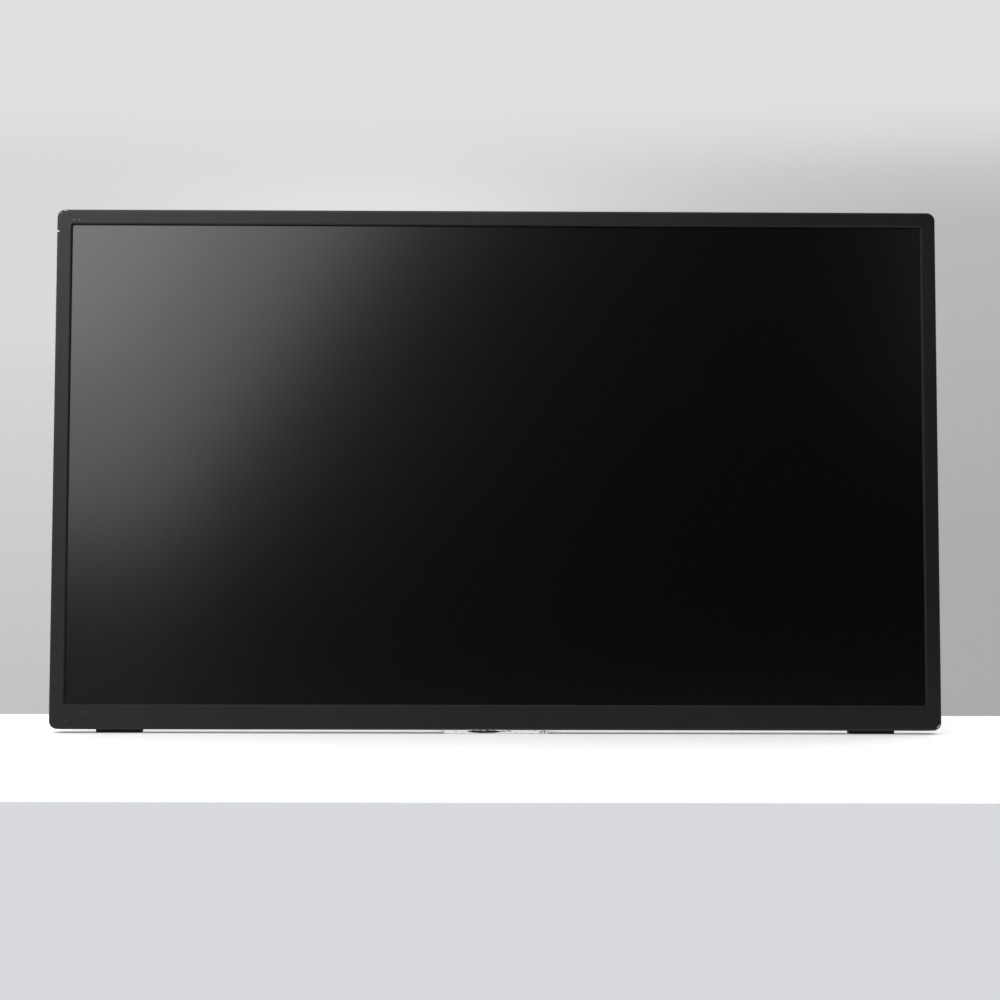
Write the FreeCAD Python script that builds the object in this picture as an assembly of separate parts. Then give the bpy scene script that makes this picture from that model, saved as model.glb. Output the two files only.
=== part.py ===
"""Portable monitor: a 15.6 inch panel in a slim housing, on two rubber feet and a folding metal foot."""

import FreeCAD, Part

import math
import os

from FreeCAD import Vector

# All sizes are in millimetres. The display is drawn upright in its own frame: X to the right as seen from
# the front, Y from the front face to the back, Z up from the lower edge of the housing. The folding foot is
# drawn flat on the table, with its own origin on the hinge axis. The end of the script leans the display
# back and puts both on the table.

# Picture area and the front frame around it
active_width = 344.16
active_height = 193.59
window_margin = 0.4
side_border = 6.2
top_border = 6.2
bottom_border = 10.0
corner_radius = 3.3
front_wall = 1.2
frame_depth = 3.4
side_wall = 1.5
front_edge_radius = 0.8
window_chamfer = 0.6
window_corner = 0.5

# Rear cover: a thin upper zone, and a thicker lower zone for the boards
upper_depth = 7.0
lower_depth = 12.8
back_wall = 1.6
step_bottom = 104.0
step_height = 14.0
step_radius = 8.0
rear_edge_radius = 1.8

seam_groove = 0.15

# Clips that hold the front frame in the rear cover
clip_length = 9.0
clip_thickness = 0.8
clip_reach = 1.7
clip_root = 1.4
clip_gap = 0.1
side_clip_low = 27.0
side_clip_high = 112.0
side_clip_pitch = 40.0
side_clip_count = 3

# Panel module
module_side = 3.2
module_top = 3.1
module_bottom = 7.5
gasket_thickness = 0.3
gasket_width = 1.5
gasket_inset = 0.4
cell_thickness = 1.1
cell_inset = 0.5
film_gap = 0.2
diffuser_thickness = 0.2
prism_thickness = 0.2
guide_thickness = 0.7
reflector_thickness = 0.2
frame_wall = 1.6
light_bar_height = 4.2
tray_thickness = 0.25
tray_edge_gap = 0.3
led_count = 36
led_length = 3.0
led_height = 0.8
led_depth = 0.5
led_strip_thickness = 0.2
led_strip_inset = 1.0
led_strip_gap = 0.3
led_edge_gap = 0.1

# Driver board behind the panel's lower edge, and the tails that fold round to it
source_board_width = 280.0
source_board_height = 9.0
source_board_thickness = 0.6
source_board_lift = 1.9
driver_chip_x = 39.0
driver_chip_length = 8.0
driver_chip_height = 3.5
driver_chip_thickness = 0.9
driver_chip_inset = 1.0
source_socket_height = 3.5
source_socket_inset = 0.5
tail_count = 4
tail_width = 24.0
tail_thickness = 0.15
tail_clear = 0.25
tail_lap = 1.5

# Chassis plate and what is fixed to it
tape_thickness = 0.2
tape_width = 6.0
tape_inset = 4.0
tape_low_inset = 3.0
chassis_thickness = 0.8
chassis_inset = 1.6
chassis_bottom = 15.2
chassis_corner = 3.0
chassis_window_gap = 22.0
chassis_window_count = 3
chassis_window_corner = 6.0
chassis_window_drop = 2.0
chassis_window_top = 16.0
chassis_middle_rise = 18.0
screw_tip_gap = 0.05
insulation_thickness = 0.15
insulation_gap = 1.0

# Main board, on the left as seen from the front
board_thickness = 1.0
board_lift = 0.85
main_board_height = 57.0
main_board_bottom = 40.0
board_edge_gap = 3.0
board_boss_gap = 0.88
jack_hole_gap = 1.0
standoff_radius = 2.2
board_screw_radius = 1.0
board_screw_head = 1.9
board_screw_head_height = 0.9
board_screw_inset = 3.6
chip_size = 14.0
chip_height = 1.2
shield_width = 34.0
shield_height = 30.0
shield_depth = 2.4
shield_wall = 0.2
shield_corner = 1.0
shield_edge_gap = 10.0
component_inset = 6.0
component_low = 10.0
coil_radius = 2.8
coil_height = 2.4
coil_pitch = 8.0
coil_count = 3
capacitor_pitch = 4.0
capacitor_count = 6
capacitor_length = 2.4
capacitor_width = 1.6
capacitor_height = 1.2
capacitor_rise = 4.5
small_chip_width = 6.0
small_chip_length = 5.0
small_chip_height = 0.9
small_chip_rise = 23.0
lead_socket_low = 7.5
lead_socket_width = 3.5
plug_edge_gap = 18.0
plug_length = 8.0
plug_height = 1.6
plug_low = 1.0
plug_width = 4.0

# Sockets in the left edge
usb_width = 8.94
usb_thickness = 3.16
usb_length = 7.5
usb_shell = 0.3
usb_tongue_width = 6.7
usb_tongue_thickness = 0.7
usb_tongue_length = 5.2
usb_upper_height = 88.0
usb_pitch = 14.0
usb_back_wall = 0.6
hdmi_pitch = 14.0
hdmi_width = 11.2
hdmi_thickness = 3.2
hdmi_length = 7.8
hdmi_shell = 0.4
hdmi_back_wall = 0.8
hdmi_tongue_width = 8.0
hdmi_tongue_thickness = 0.9
hdmi_tongue_sink = 1.5
jack_pitch = 13.5
jack_bore_radius = 1.8
jack_nose_radius = 2.75
jack_body_width = 6.0
jack_body_length = 13.5
jack_depth = 15.2
jack_rise = 1.0
jack_room = 0.3
socket_recess = 0.3
socket_clearance = 0.15

# Keys in the right edge
key_length = 9.0
key_width = 3.2
key_stand = 0.5
key_flange = 1.0
key_flange_lip = 1.0
key_stem = 1.5
key_stem_width = 2.6
key_travel = 0.35
key_clearance = 0.12
key_depth = 7.5
power_key_height = 91.0
menu_key_height = 73.0
key_pitch = 14.0
switch_length = 3.8
switch_height = 4.4
switch_thickness = 3.0
plunger_radius = 0.8
plunger_clearance = 0.05
plunger_seat = 0.6
plunger_stand = 1.2
key_edge_radius = 0.25
key_board_width = 9.4
key_board_height = 60.0
key_board_thickness = 0.7
key_board_bottom = 38.0
key_board_lift = 0.6
key_board_hole_inset = 2.4
key_socket_gap = 2.0
key_socket_height = 3.0
key_socket_side_gap = 0.5
light_pipe_radius = 0.8
light_pipe_height = 82.0
light_pipe_gap = 0.1
power_led_length = 3.0
power_led_width = 2.0

# Speakers behind the lower corners
speaker_height = 20.0
speaker_depth = 5.2
speaker_bottom = 15.4
speaker_side_gap = 18.5
speaker_boss_gap = 16.98
speaker_corner = 3.0
speaker_wall = 1.2
gasket_screw_gap = 0.2
gasket_ring_inset = 1.5
gasket_ring_wall = 1.5
gasket_ring_corner = 2.0
gasket_room_corner = 1.0
driver_radius = 7.5
driver_recess = 2.0
driver_seat = 1.0
driver_rim = 1.5
driver_cap_radius = 4.2
driver_dome = 1.1
slot_width = 1.4
slot_pitch = 3.6
slot_ring_gap = 0.6
speaker_slot_length = 11.0
vent_slot_length = 10.0
vent_bottom = 88.0
vent_boss_gap = 14.6
vent_side_gap = 32.5
speaker_screw_inset = 3.2
speaker_screw_radius = 0.9
speaker_screw_head = 1.6
speaker_screw_height = 0.8

# Leads inside the housing
lead_radius = 0.5
lead_plug_inset = 2.0
lead_plug_rise = 0.8
lead_straight = 2.8
lead_step = 2.0
lead_floor_gap = 0.4
lead_box_overlap = 5.2
ribbon_thickness = 0.3
ribbon_step_gap = 1.0
ribbon_step_height = 3.0
ribbon_width = 8.0
ribbon_edge_gap = 6.5
key_ribbon_thickness = 0.15
key_ribbon_width = 4.5
key_ribbon_clear = 1.7
key_ribbon_lift = 0.6
key_ribbon_inset = 8.0
key_ribbon_lap = 2.5
ribbon_socket_inset = 1.5
ribbon_lap = 3.0
connector_height = 1.1

# Screws of the rear cover
cover_screw_radius = 1.0
cover_head_radius = 2.0
cover_head_height = 0.8
cover_boss_radius = 3.0
cover_screw_bite = 0.75
cover_head_sink = 0.1
screw_play = 0.15
boss_recess_gap = 0.5
boss_side_inset = 10.68
boss_z_low = 24.0
boss_z_high = 92.0
thin_screw_inset = 13.68
thin_screw_z_low = 128.0
thin_screw_z_high = 199.0

# Hinge under the middle of the housing
hinge_radius = 3.5
shaft_radius = 1.8
shaft_clearance = 0.05
saddle_width = 41.6
ear_width = 7.2
washer_room = 1.2
washer_thickness = 0.5
washer_count = 2
saddle_flange_height = 30.0
saddle_flange_thickness = 1.2
saddle_flange_corner = 2.0
saddle_clearance = 0.5
saddle_wall_gap = 0.4
saddle_lip_front = 0.7
saddle_lip_bow = 0.6
saddle_lip_top = 1.1
saddle_lip_edge = 0.5
saddle_lip_play = 0.02
lip_reach = 3.0
table_clearance = 0.25
knuckle_relief = 0.6
relief_window = 4.0
head_radius = 2.6
head_thickness = 1.0
head_pocket_depth = 1.6
head_pocket_clearance = 0.3
shaft_end_play = 0.05
washer_inset = 0.3
stub_radius = 1.2
nut_flats = 4.4
nut_thickness = 1.15
hinge_screw_radius = 1.25
hinge_screw_head = 2.3
hinge_screw_head_height = 1.0
hinge_screw_inset = 5.8
hinge_screw_z_low = 18.0
hinge_screw_z_high = 26.0

# Folding foot
foot_thickness = 2.6
foot_length = 88.0
foot_half_width = 75.0
neck_start = 4.4
neck_end = 30.0
foot_corner = 10.0
foot_inner_corner = 9.0
foot_edge = 0.4
pad_stand = 0.5
pad_sink = 0.5
pad_length = 24.0
pad_width = 12.0
pad_inset = 7.0
pad_corner = 2.0
neck_pad_offset = 9.0

# Recess that the foot folds into
recess_gap = 0.5
recess_depth_gap = 0.3
recess_wall = 1.2
finger_width = 24.0
finger_reach = 7.5
finger_depth = 5.2
finger_undercut = 2.4
finger_corner = 2.5

# Rubber feet of the housing
housing_foot_inset = 27.48
housing_foot_width = 18.3
housing_foot_front = 5.0
housing_foot_depth = 5.5
housing_foot_sink = 0.4
housing_foot_corner = 0.3

# Pose on the table
lean_angle = 4.5
front_edge_lift = 1.68

# Worked out from the sizes above
window_width = active_width + 2 * window_margin
window_height = active_height + 2 * window_margin
housing_width = window_width + 2 * side_border
housing_height = window_height + top_border + bottom_border
half_width = housing_width / 2
window_low = bottom_border
window_high = bottom_border + window_height
step_top = step_bottom + step_height

cell_front = front_wall + gasket_thickness
cell_back = cell_front + cell_thickness
diffuser_back = cell_back + diffuser_thickness
prism_back = diffuser_back + prism_thickness
guide_back = prism_back + guide_thickness
reflector_back = guide_back + reflector_thickness
tray_back = reflector_back + tray_thickness
chassis_front = tray_back + tape_thickness
chassis_back = chassis_front + chassis_thickness
screw_tip = chassis_front + screw_tip_gap
board_front = chassis_back + board_lift
board_back = board_front + board_thickness
lower_inner = lower_depth - back_wall
upper_inner = upper_depth - back_wall

boss_x_inner = foot_half_width + recess_gap + recess_wall + boss_recess_gap + cover_boss_radius
boss_x_outer = half_width - boss_side_inset
thin_screw_x = half_width - thin_screw_inset

module_half = active_width / 2 + module_side
module_low = window_low + window_margin - module_bottom
module_high = window_high - window_margin + module_top
inner_half = module_half - frame_wall
inner_low = module_low + frame_wall + light_bar_height
inner_high = module_high - frame_wall
source_low = module_low + source_board_lift
source_top = source_low + source_board_height

hinge_y = lower_depth - hinge_radius
lean = math.radians(lean_angle)
hinge_height = hinge_radius + pad_stand
hinge_z = (hinge_height + hinge_y * math.sin(lean) - front_edge_lift) / math.cos(lean)
front_reach = hinge_y * math.cos(lean) + hinge_z * math.sin(lean) - front_edge_radius * (
    1 - math.cos(lean)
)
hinge_world_y = (front_reach - foot_length) / 2

foot_half_neck = saddle_width / 2
knuckle_width = saddle_width - 2 * (ear_width + washer_room)
hinge_screw_x = saddle_width / 2 - hinge_screw_inset
housing_foot_x = half_width - housing_foot_inset
shaft_half = saddle_width / 2 - head_pocket_depth + shaft_end_play
foot_low = -hinge_radius
foot_top = foot_low + foot_thickness
recess_floor = lower_depth - foot_thickness - recess_depth_gap
recess_inner = recess_floor - recess_wall
recess_top = hinge_z + foot_length + recess_gap

main_board_left = board_edge_gap - half_width
main_board_right = -boss_x_inner - cover_boss_radius - board_boss_gap
main_board_top = main_board_bottom + main_board_height
usb_centre_y = board_back + usb_thickness / 2
hdmi_centre_y = board_back + hdmi_thickness / 2
jack_centre_y = board_back + jack_rise
usb_lower_height = usb_upper_height - usb_pitch
hdmi_height = usb_lower_height - hdmi_pitch
jack_height = hdmi_height - jack_pitch
socket_face = socket_recess - half_width
key_inner_face = half_width - side_wall
key_stem_end = key_inner_face - key_clearance - key_flange - key_stem
switch_front = key_stem_end - plunger_stand
key_board_front = chassis_back + key_board_lift
key_board_back = key_board_front + key_board_thickness
key_heights = {
    "power_key": power_key_height,
    "menu_key": menu_key_height,
    "up_key": menu_key_height - key_pitch,
    "down_key": menu_key_height - 2 * key_pitch,
}
speaker_inner = boss_x_inner + cover_boss_radius + speaker_boss_gap
speaker_width = half_width - speaker_side_gap - speaker_inner
speaker_centre = speaker_inner + speaker_width / 2
speaker_top = speaker_bottom + speaker_height
speaker_middle = speaker_bottom + speaker_height / 2
speaker_back = chassis_back + speaker_depth
gasket_ring_width = speaker_width - 2 * (speaker_screw_inset + speaker_screw_head + gasket_screw_gap)
gasket_ring_height = speaker_height - 2 * gasket_ring_inset
speaker_slot_room = gasket_ring_width - 2 * (gasket_ring_wall + slot_ring_gap)
vent_inner = boss_x_inner + cover_boss_radius + vent_boss_gap
vent_outer = half_width - vent_side_gap
key_ribbon_low = recess_top + finger_reach + recess_wall + key_ribbon_clear
key_ribbon_y = board_back + key_ribbon_lift
key_ribbon_socket_top = (
    key_board_bottom + key_board_height - 2 * key_board_hole_inset - key_socket_gap
)


def box(x, y, z):
    """A block between the low and high value of each axis."""
    size = [high - low for low, high in (x, y, z)]
    return Part.makeBox(*size, Vector(x[0], y[0], z[0]))


def rod_x(x, y, z, radius):
    return Part.makeCylinder(radius, x[1] - x[0], Vector(x[0], y, z), Vector(1, 0, 0))


def rod_y(y, x, z, radius):
    return Part.makeCylinder(radius, y[1] - y[0], Vector(x, y[0], z), Vector(0, 1, 0))


def side_prism(outline, x):
    """An outline of (y, z) points, drawn out along X."""
    points = [Vector(x[0], y, z) for y, z in outline]
    face = Part.Face(Part.makePolygon(points + points[:1]))
    return face.extrude(Vector(x[1] - x[0], 0, 0))


def front_prism(outline, y):
    """An outline of (x, z) points, drawn out along Y."""
    points = [Vector(x, y[0], z) for x, z in outline]
    face = Part.Face(Part.makePolygon(points + points[:1]))
    return face.extrude(Vector(0, y[1] - y[0], 0))


def along(edge, axis):
    """True if a straight edge runs along one axis."""
    if edge.Curve.TypeId != "Part::GeomLine":
        return False
    return abs(abs(edge.Curve.Direction.dot(axis)) - 1) < 1e-6


def rounded(shape, radius, axis, keep=lambda edge: True):
    """The shape with the chosen edges along one axis rounded."""
    edges = [e for e in shape.Edges if along(e, axis) and keep(e)]
    return shape.makeFillet(radius, edges)


def slab(x, y, z, radius):
    """A block with its four corners rounded as seen from the front."""
    return rounded(box(x, y, z), radius, Vector(0, 1, 0))


def joined(shapes):
    first, *others = shapes
    return first.fuse(others).removeSplitter() if others else first


def group(shapes):
    """Separate solids that share one node."""
    return Part.makeCompound(shapes)


def ring(outer, inner):
    return outer.cut(inner)


def middle(edge):
    return edge.valueAt((edge.FirstParameter + edge.LastParameter) / 2)


def tail_places():
    """The middle of each tail that runs from the glass to its driver board."""
    span = source_board_width - 2 * tail_width
    return [i * span / (tail_count - 1) - span / 2 for i in range(tail_count)]


def bezel_clips():
    """The tabs behind the front frame, clear of the tails, the hinge, the keys and the sockets."""
    root = frame_depth - clip_root
    tip = frame_depth + clip_reach
    wall = half_width - side_wall
    high = housing_height - side_wall
    half = clip_length / 2
    stations = (((root, frame_depth), 0), ((root, tip), clip_gap))
    side_places = [side_clip_high + i * side_clip_pitch for i in range(side_clip_count)]
    side_places.append(side_clip_low)
    tails = tail_places()
    outer = tails[-1] + tail_width / 2 + clip_length
    inner = (tails[-1] + tails[-2]) / 2
    tabs = []
    for y, gap in stations:
        for z in side_places:
            for side in (-1, 1):
                x = sorted((side * (wall - clip_thickness), side * (wall - gap)))
                tabs.append(box(x, y, (z - half, z + half)))
        for centre in (-outer, -inner, inner, outer):
            x = (centre - half, centre + half)
            tabs.append(box(x, y, (side_wall + gap, side_wall + clip_thickness)))
            tabs.append(box(x, y, (high - clip_thickness, high - gap)))
    return tabs


def grooved(solid):
    """The solid with the edge all round its joint with the other half of the housing cut back a little."""
    edges = []
    for e in solid.Edges:
        p = middle(e)
        at_side = abs(p.x) > half_width - corner_radius
        at_end = p.z < corner_radius or p.z > housing_height - corner_radius
        if abs(p.y - frame_depth) < 1e-6 and (at_side or at_end):
            edges.append(e)
    return solid.makeChamfer(seam_groove, edges)


def front_bezel():
    outer = slab((-half_width, half_width), (0, frame_depth), (0, housing_height), corner_radius)
    front_edges = [e for e in outer.Edges if middle(e).y < 1e-6]
    outer = grooved(outer.makeFillet(front_edge_radius, front_edges))
    inside = slab(
        (side_wall - half_width, half_width - side_wall),
        (front_wall, frame_depth + 1),
        (side_wall, housing_height - side_wall),
        corner_radius - side_wall,
    )
    window = slab(
        (-window_width / 2, window_width / 2),
        (-1, front_wall + 1),
        (window_low, window_high),
        window_corner,
    )
    lip_notch = box(
        (-saddle_width / 2 - saddle_clearance, saddle_width / 2 + saddle_clearance),
        (front_wall, frame_depth + 1),
        (-1, side_wall + 1),
    )
    body = outer.cut([inside, window, lip_notch])
    rim = [
        e
        for e in body.Edges
        if abs(middle(e).y) < 1e-6
        and abs(middle(e).x) < window_width / 2 + 1e-3
        and window_low - 1e-3 < middle(e).z < window_high + 1e-3
    ]
    body = body.makeChamfer(window_chamfer, rim)
    return joined([body] + bezel_clips())


def cover_shell(inset, back_inset):
    """The rear cover's outer block, smaller by one inset at its edges and another at its back."""
    low, high = inset, housing_height - inset
    outline = [
        (frame_depth, low),
        (lower_depth - back_inset, low),
        (lower_depth - back_inset, step_bottom),
        (upper_depth - back_inset, step_top),
        (upper_depth - back_inset, high),
        (frame_depth, high),
    ]
    solid = side_prism(outline, (inset - half_width, half_width - inset))
    solid = rounded(solid, corner_radius - inset, Vector(0, 1, 0))
    on_step = [
        e
        for e in solid.Edges
        if along(e, Vector(1, 0, 0))
        and (abs(middle(e).z - step_bottom) < 1e-3 or abs(middle(e).z - step_top) < 1e-3)
    ]
    return solid.makeFillet(step_radius, on_step)


def rounded_rear_edge(solid):
    """The cover's solid with the edge all round its back rounded."""
    edges = []
    for e in solid.Edges:
        p = middle(e)
        at_side = abs(abs(p.x) - half_width) < corner_radius
        at_end = p.z < corner_radius or p.z > housing_height - corner_radius
        if p.y < frame_depth + 0.1 or along(e, Vector(0, 1, 0)):
            continue
        if at_side or at_end:
            edges.append(e)
    return solid.makeFillet(rear_edge_radius, edges)


def foot_outline(grow):
    """The folded foot's outline in (x, z), larger all round by grow, with its corners still sharp."""
    half = foot_half_width + grow
    neck = foot_half_neck + grow
    shoulder = hinge_z + neck_end - grow
    top = hinge_z + foot_length + grow
    return [
        (-neck, hinge_z),
        (neck, hinge_z),
        (neck, shoulder),
        (half, shoulder),
        (half, top),
        (-half, top),
        (-half, shoulder),
        (-neck, shoulder),
    ]


def foot_prism(grow, y):
    """The folded foot's outline with round corners, drawn out along Y."""
    solid = front_prism(foot_outline(grow), y)
    shoulder = hinge_z + neck_end - grow

    def is_inner(e):
        p = middle(e)
        return abs(p.z - shoulder) < 1e-3 and abs(p.x) < foot_half_neck + grow + 1e-3

    def is_outer(e):
        p = middle(e)
        return p.z > shoulder - 1e-3 and abs(p.x) > foot_half_width

    solid = rounded(solid, foot_inner_corner - grow, Vector(0, 1, 0), is_inner)
    outer_edges = (
        is_outer if grow else lambda e: abs(abs(middle(e).x) - foot_half_width) < 1e-3
    )
    return rounded(solid, foot_corner + grow, Vector(0, 1, 0), outer_edges)


def screw_places():
    """(x, z, depth of the cover there) of each screw in the rear cover."""
    lower = [
        (side * x, z, lower_depth)
        for side in (-1, 1)
        for x, z in (
            (boss_x_inner, boss_z_low),
            (boss_x_inner, boss_z_high),
            (boss_x_outer, boss_z_low),
        )
    ]
    upper = [
        (x, z, upper_depth)
        for x in (-thin_screw_x, 0, thin_screw_x)
        for z in (thin_screw_z_low, thin_screw_z_high)
    ]
    return lower, upper


def slots(centre_x, room, low, length):
    """As many upright slots through the back wall of the lower zone as the room's width holds."""
    count = int((room - slot_width) / slot_pitch) + 1
    first = centre_x - (count - 1) * slot_pitch / 2
    return [
        slab(
            (first + i * slot_pitch - slot_width / 2, first + i * slot_pitch + slot_width / 2),
            (lower_inner - 1, lower_depth + 1),
            (low, low + length),
            slot_width / 2 - 0.01,
        )
        for i in range(count)
    ]


def socket_holes():
    """The holes in the left wall for the sockets."""
    x = (-half_width - 1, side_wall + 1 - half_width)
    half_usb = usb_width / 2 + socket_clearance
    deep_usb = usb_thickness / 2 + socket_clearance
    holes = []
    for z in (usb_upper_height, usb_lower_height):
        y = (usb_centre_y - deep_usb, usb_centre_y + deep_usb)
        hole = box(x, y, (z - half_usb, z + half_usb))
        holes.append(rounded(hole, deep_usb - 0.01, Vector(1, 0, 0)))
    grow = socket_clearance
    holes.append(side_prism(hdmi_outline(grow), x))
    holes.append(rod_x(x, jack_centre_y, jack_height, jack_nose_radius + socket_clearance))
    return holes


def key_holes():
    x = (half_width - side_wall - 1, half_width + 1)
    holes = [key_prism(x, z, key_clearance) for z in key_heights.values()]
    holes.append(rod_x(x, key_depth, light_pipe_height, light_pipe_radius + plunger_clearance))
    return holes


def cover_bosses():
    lower, upper = screw_places()
    zones = ((lower, lower_inner), (upper, upper_inner))
    return [
        rod_y((chassis_back, inner + screw_play), x, z, cover_boss_radius)
        for places, inner in zones
        for x, z, _ in places
    ]


def finger_block(y, grow):
    """The room for a fingertip above the folded foot, larger all round by grow."""
    half = finger_width / 2 + grow
    z = (recess_top - finger_undercut - grow, recess_top + finger_reach + grow)
    return slab((-half, half), y, z, finger_corner + grow)


def rear_cover():
    shell = grooved(rounded_rear_edge(cover_shell(0, 0)))
    hollow = cover_shell(side_wall, back_wall)
    within = hollow.fuse(hollow.translated(Vector(0, back_wall, 0)))
    tub = foot_prism(recess_gap + recess_wall, (recess_inner, lower_depth)).common(within)
    finger_floor = lower_depth - finger_depth
    finger_tub = finger_block((finger_floor - recess_wall, lower_inner + screw_play), recess_wall)
    body = joined([shell.cut(hollow), tub, finger_tub] + cover_bosses())

    beyond = lower_depth + 5
    notch_half = saddle_width / 2 + saddle_clearance
    notch_top = hinge_z + hinge_radius + saddle_clearance + recess_wall
    cuts = [
        foot_prism(recess_gap, (recess_floor, beyond)),
        finger_block((finger_floor, beyond), 0),
        box((-notch_half, notch_half), (frame_depth - 1, beyond), (-1, notch_top)),
    ]
    lower, upper = screw_places()
    for x, z, depth in lower + upper:
        cuts.append(rod_y((chassis_back - 1, beyond), x, z, cover_screw_radius + screw_play))
        head = (depth - cover_head_height - cover_head_sink, beyond)
        cuts.append(rod_y(head, x, z, cover_head_radius + screw_play))
    slot_low = (speaker_bottom + speaker_top - speaker_slot_length) / 2
    vent_centre, vent_room = (vent_inner + vent_outer) / 2, vent_outer - vent_inner
    for side in (-1, 1):
        cuts += slots(side * speaker_centre, speaker_slot_room, slot_low, speaker_slot_length)
        cuts += slots(side * vent_centre, vent_room, vent_bottom, vent_slot_length)
        cuts.append(foot_pocket(side))
    cuts += socket_holes() + key_holes()
    return body.cut(cuts)


def foot_pocket(side):
    x = side * housing_foot_x
    half = housing_foot_width / 2
    y = (housing_foot_front, housing_foot_front + housing_foot_depth)
    return box((x - half, x + half), y, (-1, housing_foot_sink))


def housing_foot(side):
    """A rubber block glued into the housing's lower edge, long enough to be cut level with the table."""
    x = side * housing_foot_x
    half = housing_foot_width / 2
    y = (housing_foot_front, housing_foot_front + housing_foot_depth)
    return slab((x - half, x + half), y, (-lip_reach, housing_foot_sink), housing_foot_corner)


def panel_outline(inset, y):
    x = (inset - module_half, module_half - inset)
    return box(x, y, (module_low + inset, module_high - inset))


def bezel_gasket():
    half = window_width / 2 + gasket_inset
    low, high = window_low - gasket_inset, window_high + gasket_inset
    outer = box(
        (-half - gasket_width, half + gasket_width),
        (front_wall, cell_front),
        (low - gasket_width, high + gasket_width),
    )
    inner = box((-half, half), (front_wall - 1, cell_front + 1), (low, high))
    return ring(outer, inner)


def film(y):
    """One sheet of the backlight, loose in the panel's frame."""
    x = (film_gap - inner_half, inner_half - film_gap)
    return box(x, y, (inner_low + film_gap, inner_high - film_gap))


def panel_frame():
    outer = panel_outline(0, (cell_back, reflector_back))
    inner = box(
        (-inner_half, inner_half), (cell_back - 1, reflector_back + 1), (inner_low, inner_high)
    )
    trough = box(
        (-inner_half, inner_half),
        (prism_back, reflector_back + 1),
        (module_low + frame_wall, inner_low + 1),
    )
    return outer.cut([inner, trough])


def led_light_bar():
    low = module_low + frame_wall
    strip_y = (reflector_back - led_strip_thickness, reflector_back)
    half = inner_half - led_strip_inset
    high = inner_low - led_edge_gap
    strip = box((-half, half), strip_y, (low + led_strip_gap, high))
    pitch = 2 * (half - led_length) / (led_count - 1)
    leds = []
    for i in range(led_count):
        x = led_length - half + i * pitch
        y = (strip_y[0] - led_depth, strip_y[0])
        leds.append(box((x - led_length / 2, x + led_length / 2), y, (high - led_height, high)))
    return group([strip] + leds)


def backlight_tray():
    floor = panel_outline(-tray_thickness, (reflector_back, tray_back))
    sides = ring(
        panel_outline(-tray_thickness, (cell_back + tray_edge_gap, reflector_back)),
        panel_outline(0, (cell_back - 1, reflector_back + 1)),
    )
    return joined([floor, sides])


def display_flex_tails():
    """Thin tails from the lower edge of the glass, round the tray, to the driver board."""
    t = tail_thickness
    glass_edge = module_low + cell_inset
    below = module_low - tray_thickness - tail_clear
    front = cell_back - 2 * t
    board_face = tray_back + source_board_thickness
    outline = [
        (front, glass_edge),
        (front, below - t),
        (board_face + t, below - t),
        (board_face + t, source_low + tail_lap),
        (board_face, source_low + tail_lap),
        (board_face, below),
        (front + t, below),
        (front + t, glass_edge),
    ]
    half = tail_width / 2
    return group([side_prism(outline, (x - half, x + half)) for x in tail_places()])


def source_board():
    half = source_board_width / 2
    face = tray_back + source_board_thickness
    parts = [box((-half, half), (tray_back, face), (source_low, source_top))]
    chip_top = source_top - driver_chip_inset
    chip_z = (chip_top - driver_chip_height, chip_top)
    chip_y = (face, face + driver_chip_thickness)
    for x in (-2, -1, 1, 2):
        centre = x * driver_chip_x
        chip_x = (centre - driver_chip_length / 2, centre + driver_chip_length / 2)
        parts.append(box(chip_x, chip_y, chip_z))
    socket_y = (face, face + connector_height - ribbon_thickness)
    socket_top = source_top - source_socket_inset
    parts.append(box(panel_lead_x(), socket_y, (socket_top - source_socket_height, socket_top)))
    return joined(parts)


def panel_lead_x():
    """The panel lead's place, just inside the main board's right edge."""
    right = main_board_right - ribbon_edge_gap
    return (right - ribbon_width, right)


def mounting_tape():
    half = module_half - chassis_inset - tape_inset
    x_left, x_right = (-half, tape_width - half), (half - tape_width, half)
    z = (chassis_bottom + tape_low_inset, module_high - chassis_inset - tape_inset)
    y = (tray_back, chassis_front)
    top = box((x_left[1] + tape_inset, x_right[0] - tape_inset), y, (z[1] - tape_width, z[1]))
    return group([box(x_left, y, z), box(x_right, y, z), top])


def chassis_plate():
    half = module_half - chassis_inset
    top = module_high - chassis_inset
    y = (chassis_front, chassis_back)
    through = (chassis_front - 1, chassis_back + 1)
    plate = slab((-half, half), y, (chassis_bottom, top), chassis_corner)
    low_z = step_top - chassis_window_drop
    high_z = top - chassis_window_top
    span = 2 * half - (chassis_window_count + 1) * chassis_window_gap
    width = span / chassis_window_count
    cuts = []
    for i in range(chassis_window_count):
        x = -half + chassis_window_gap + i * (width + chassis_window_gap)
        rise = chassis_middle_rise if i == chassis_window_count // 2 else 0
        cuts.append(slab((x, x + width), through, (low_z + rise, high_z), chassis_window_corner))
    lower, upper = screw_places()
    cuts += [rod_y(through, x, z, cover_screw_radius) for x, z, _ in lower + upper]
    cuts += [rod_y(through, x, z, board_screw_radius) for x, z in main_board_holes()]
    cuts += [rod_y(through, x, z, board_screw_radius) for x, z in key_board_holes()]
    cuts += [rod_y(through, x, z, speaker_screw_radius) for x, z in speaker_screw_places()]
    cuts += [rod_y(through, x, z, hinge_screw_radius) for x, z in hinge_screw_places()]
    return plate.cut(cuts)


def main_board_holes():
    e = board_screw_inset
    right = main_board_right - e
    top, low = main_board_top - e, main_board_bottom + e
    left = main_board_left + jack_body_length + standoff_radius + 2 * jack_room + jack_hole_gap
    return [(left, top), (right, top), (left, low), (right, low)]


def key_board_holes():
    x = key_board_centre()
    low = key_board_bottom + key_board_hole_inset
    high = key_board_bottom + key_board_height - key_board_hole_inset
    return [(x, low), (x, high)]


def key_board_centre():
    return switch_front - key_board_width / 2


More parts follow.
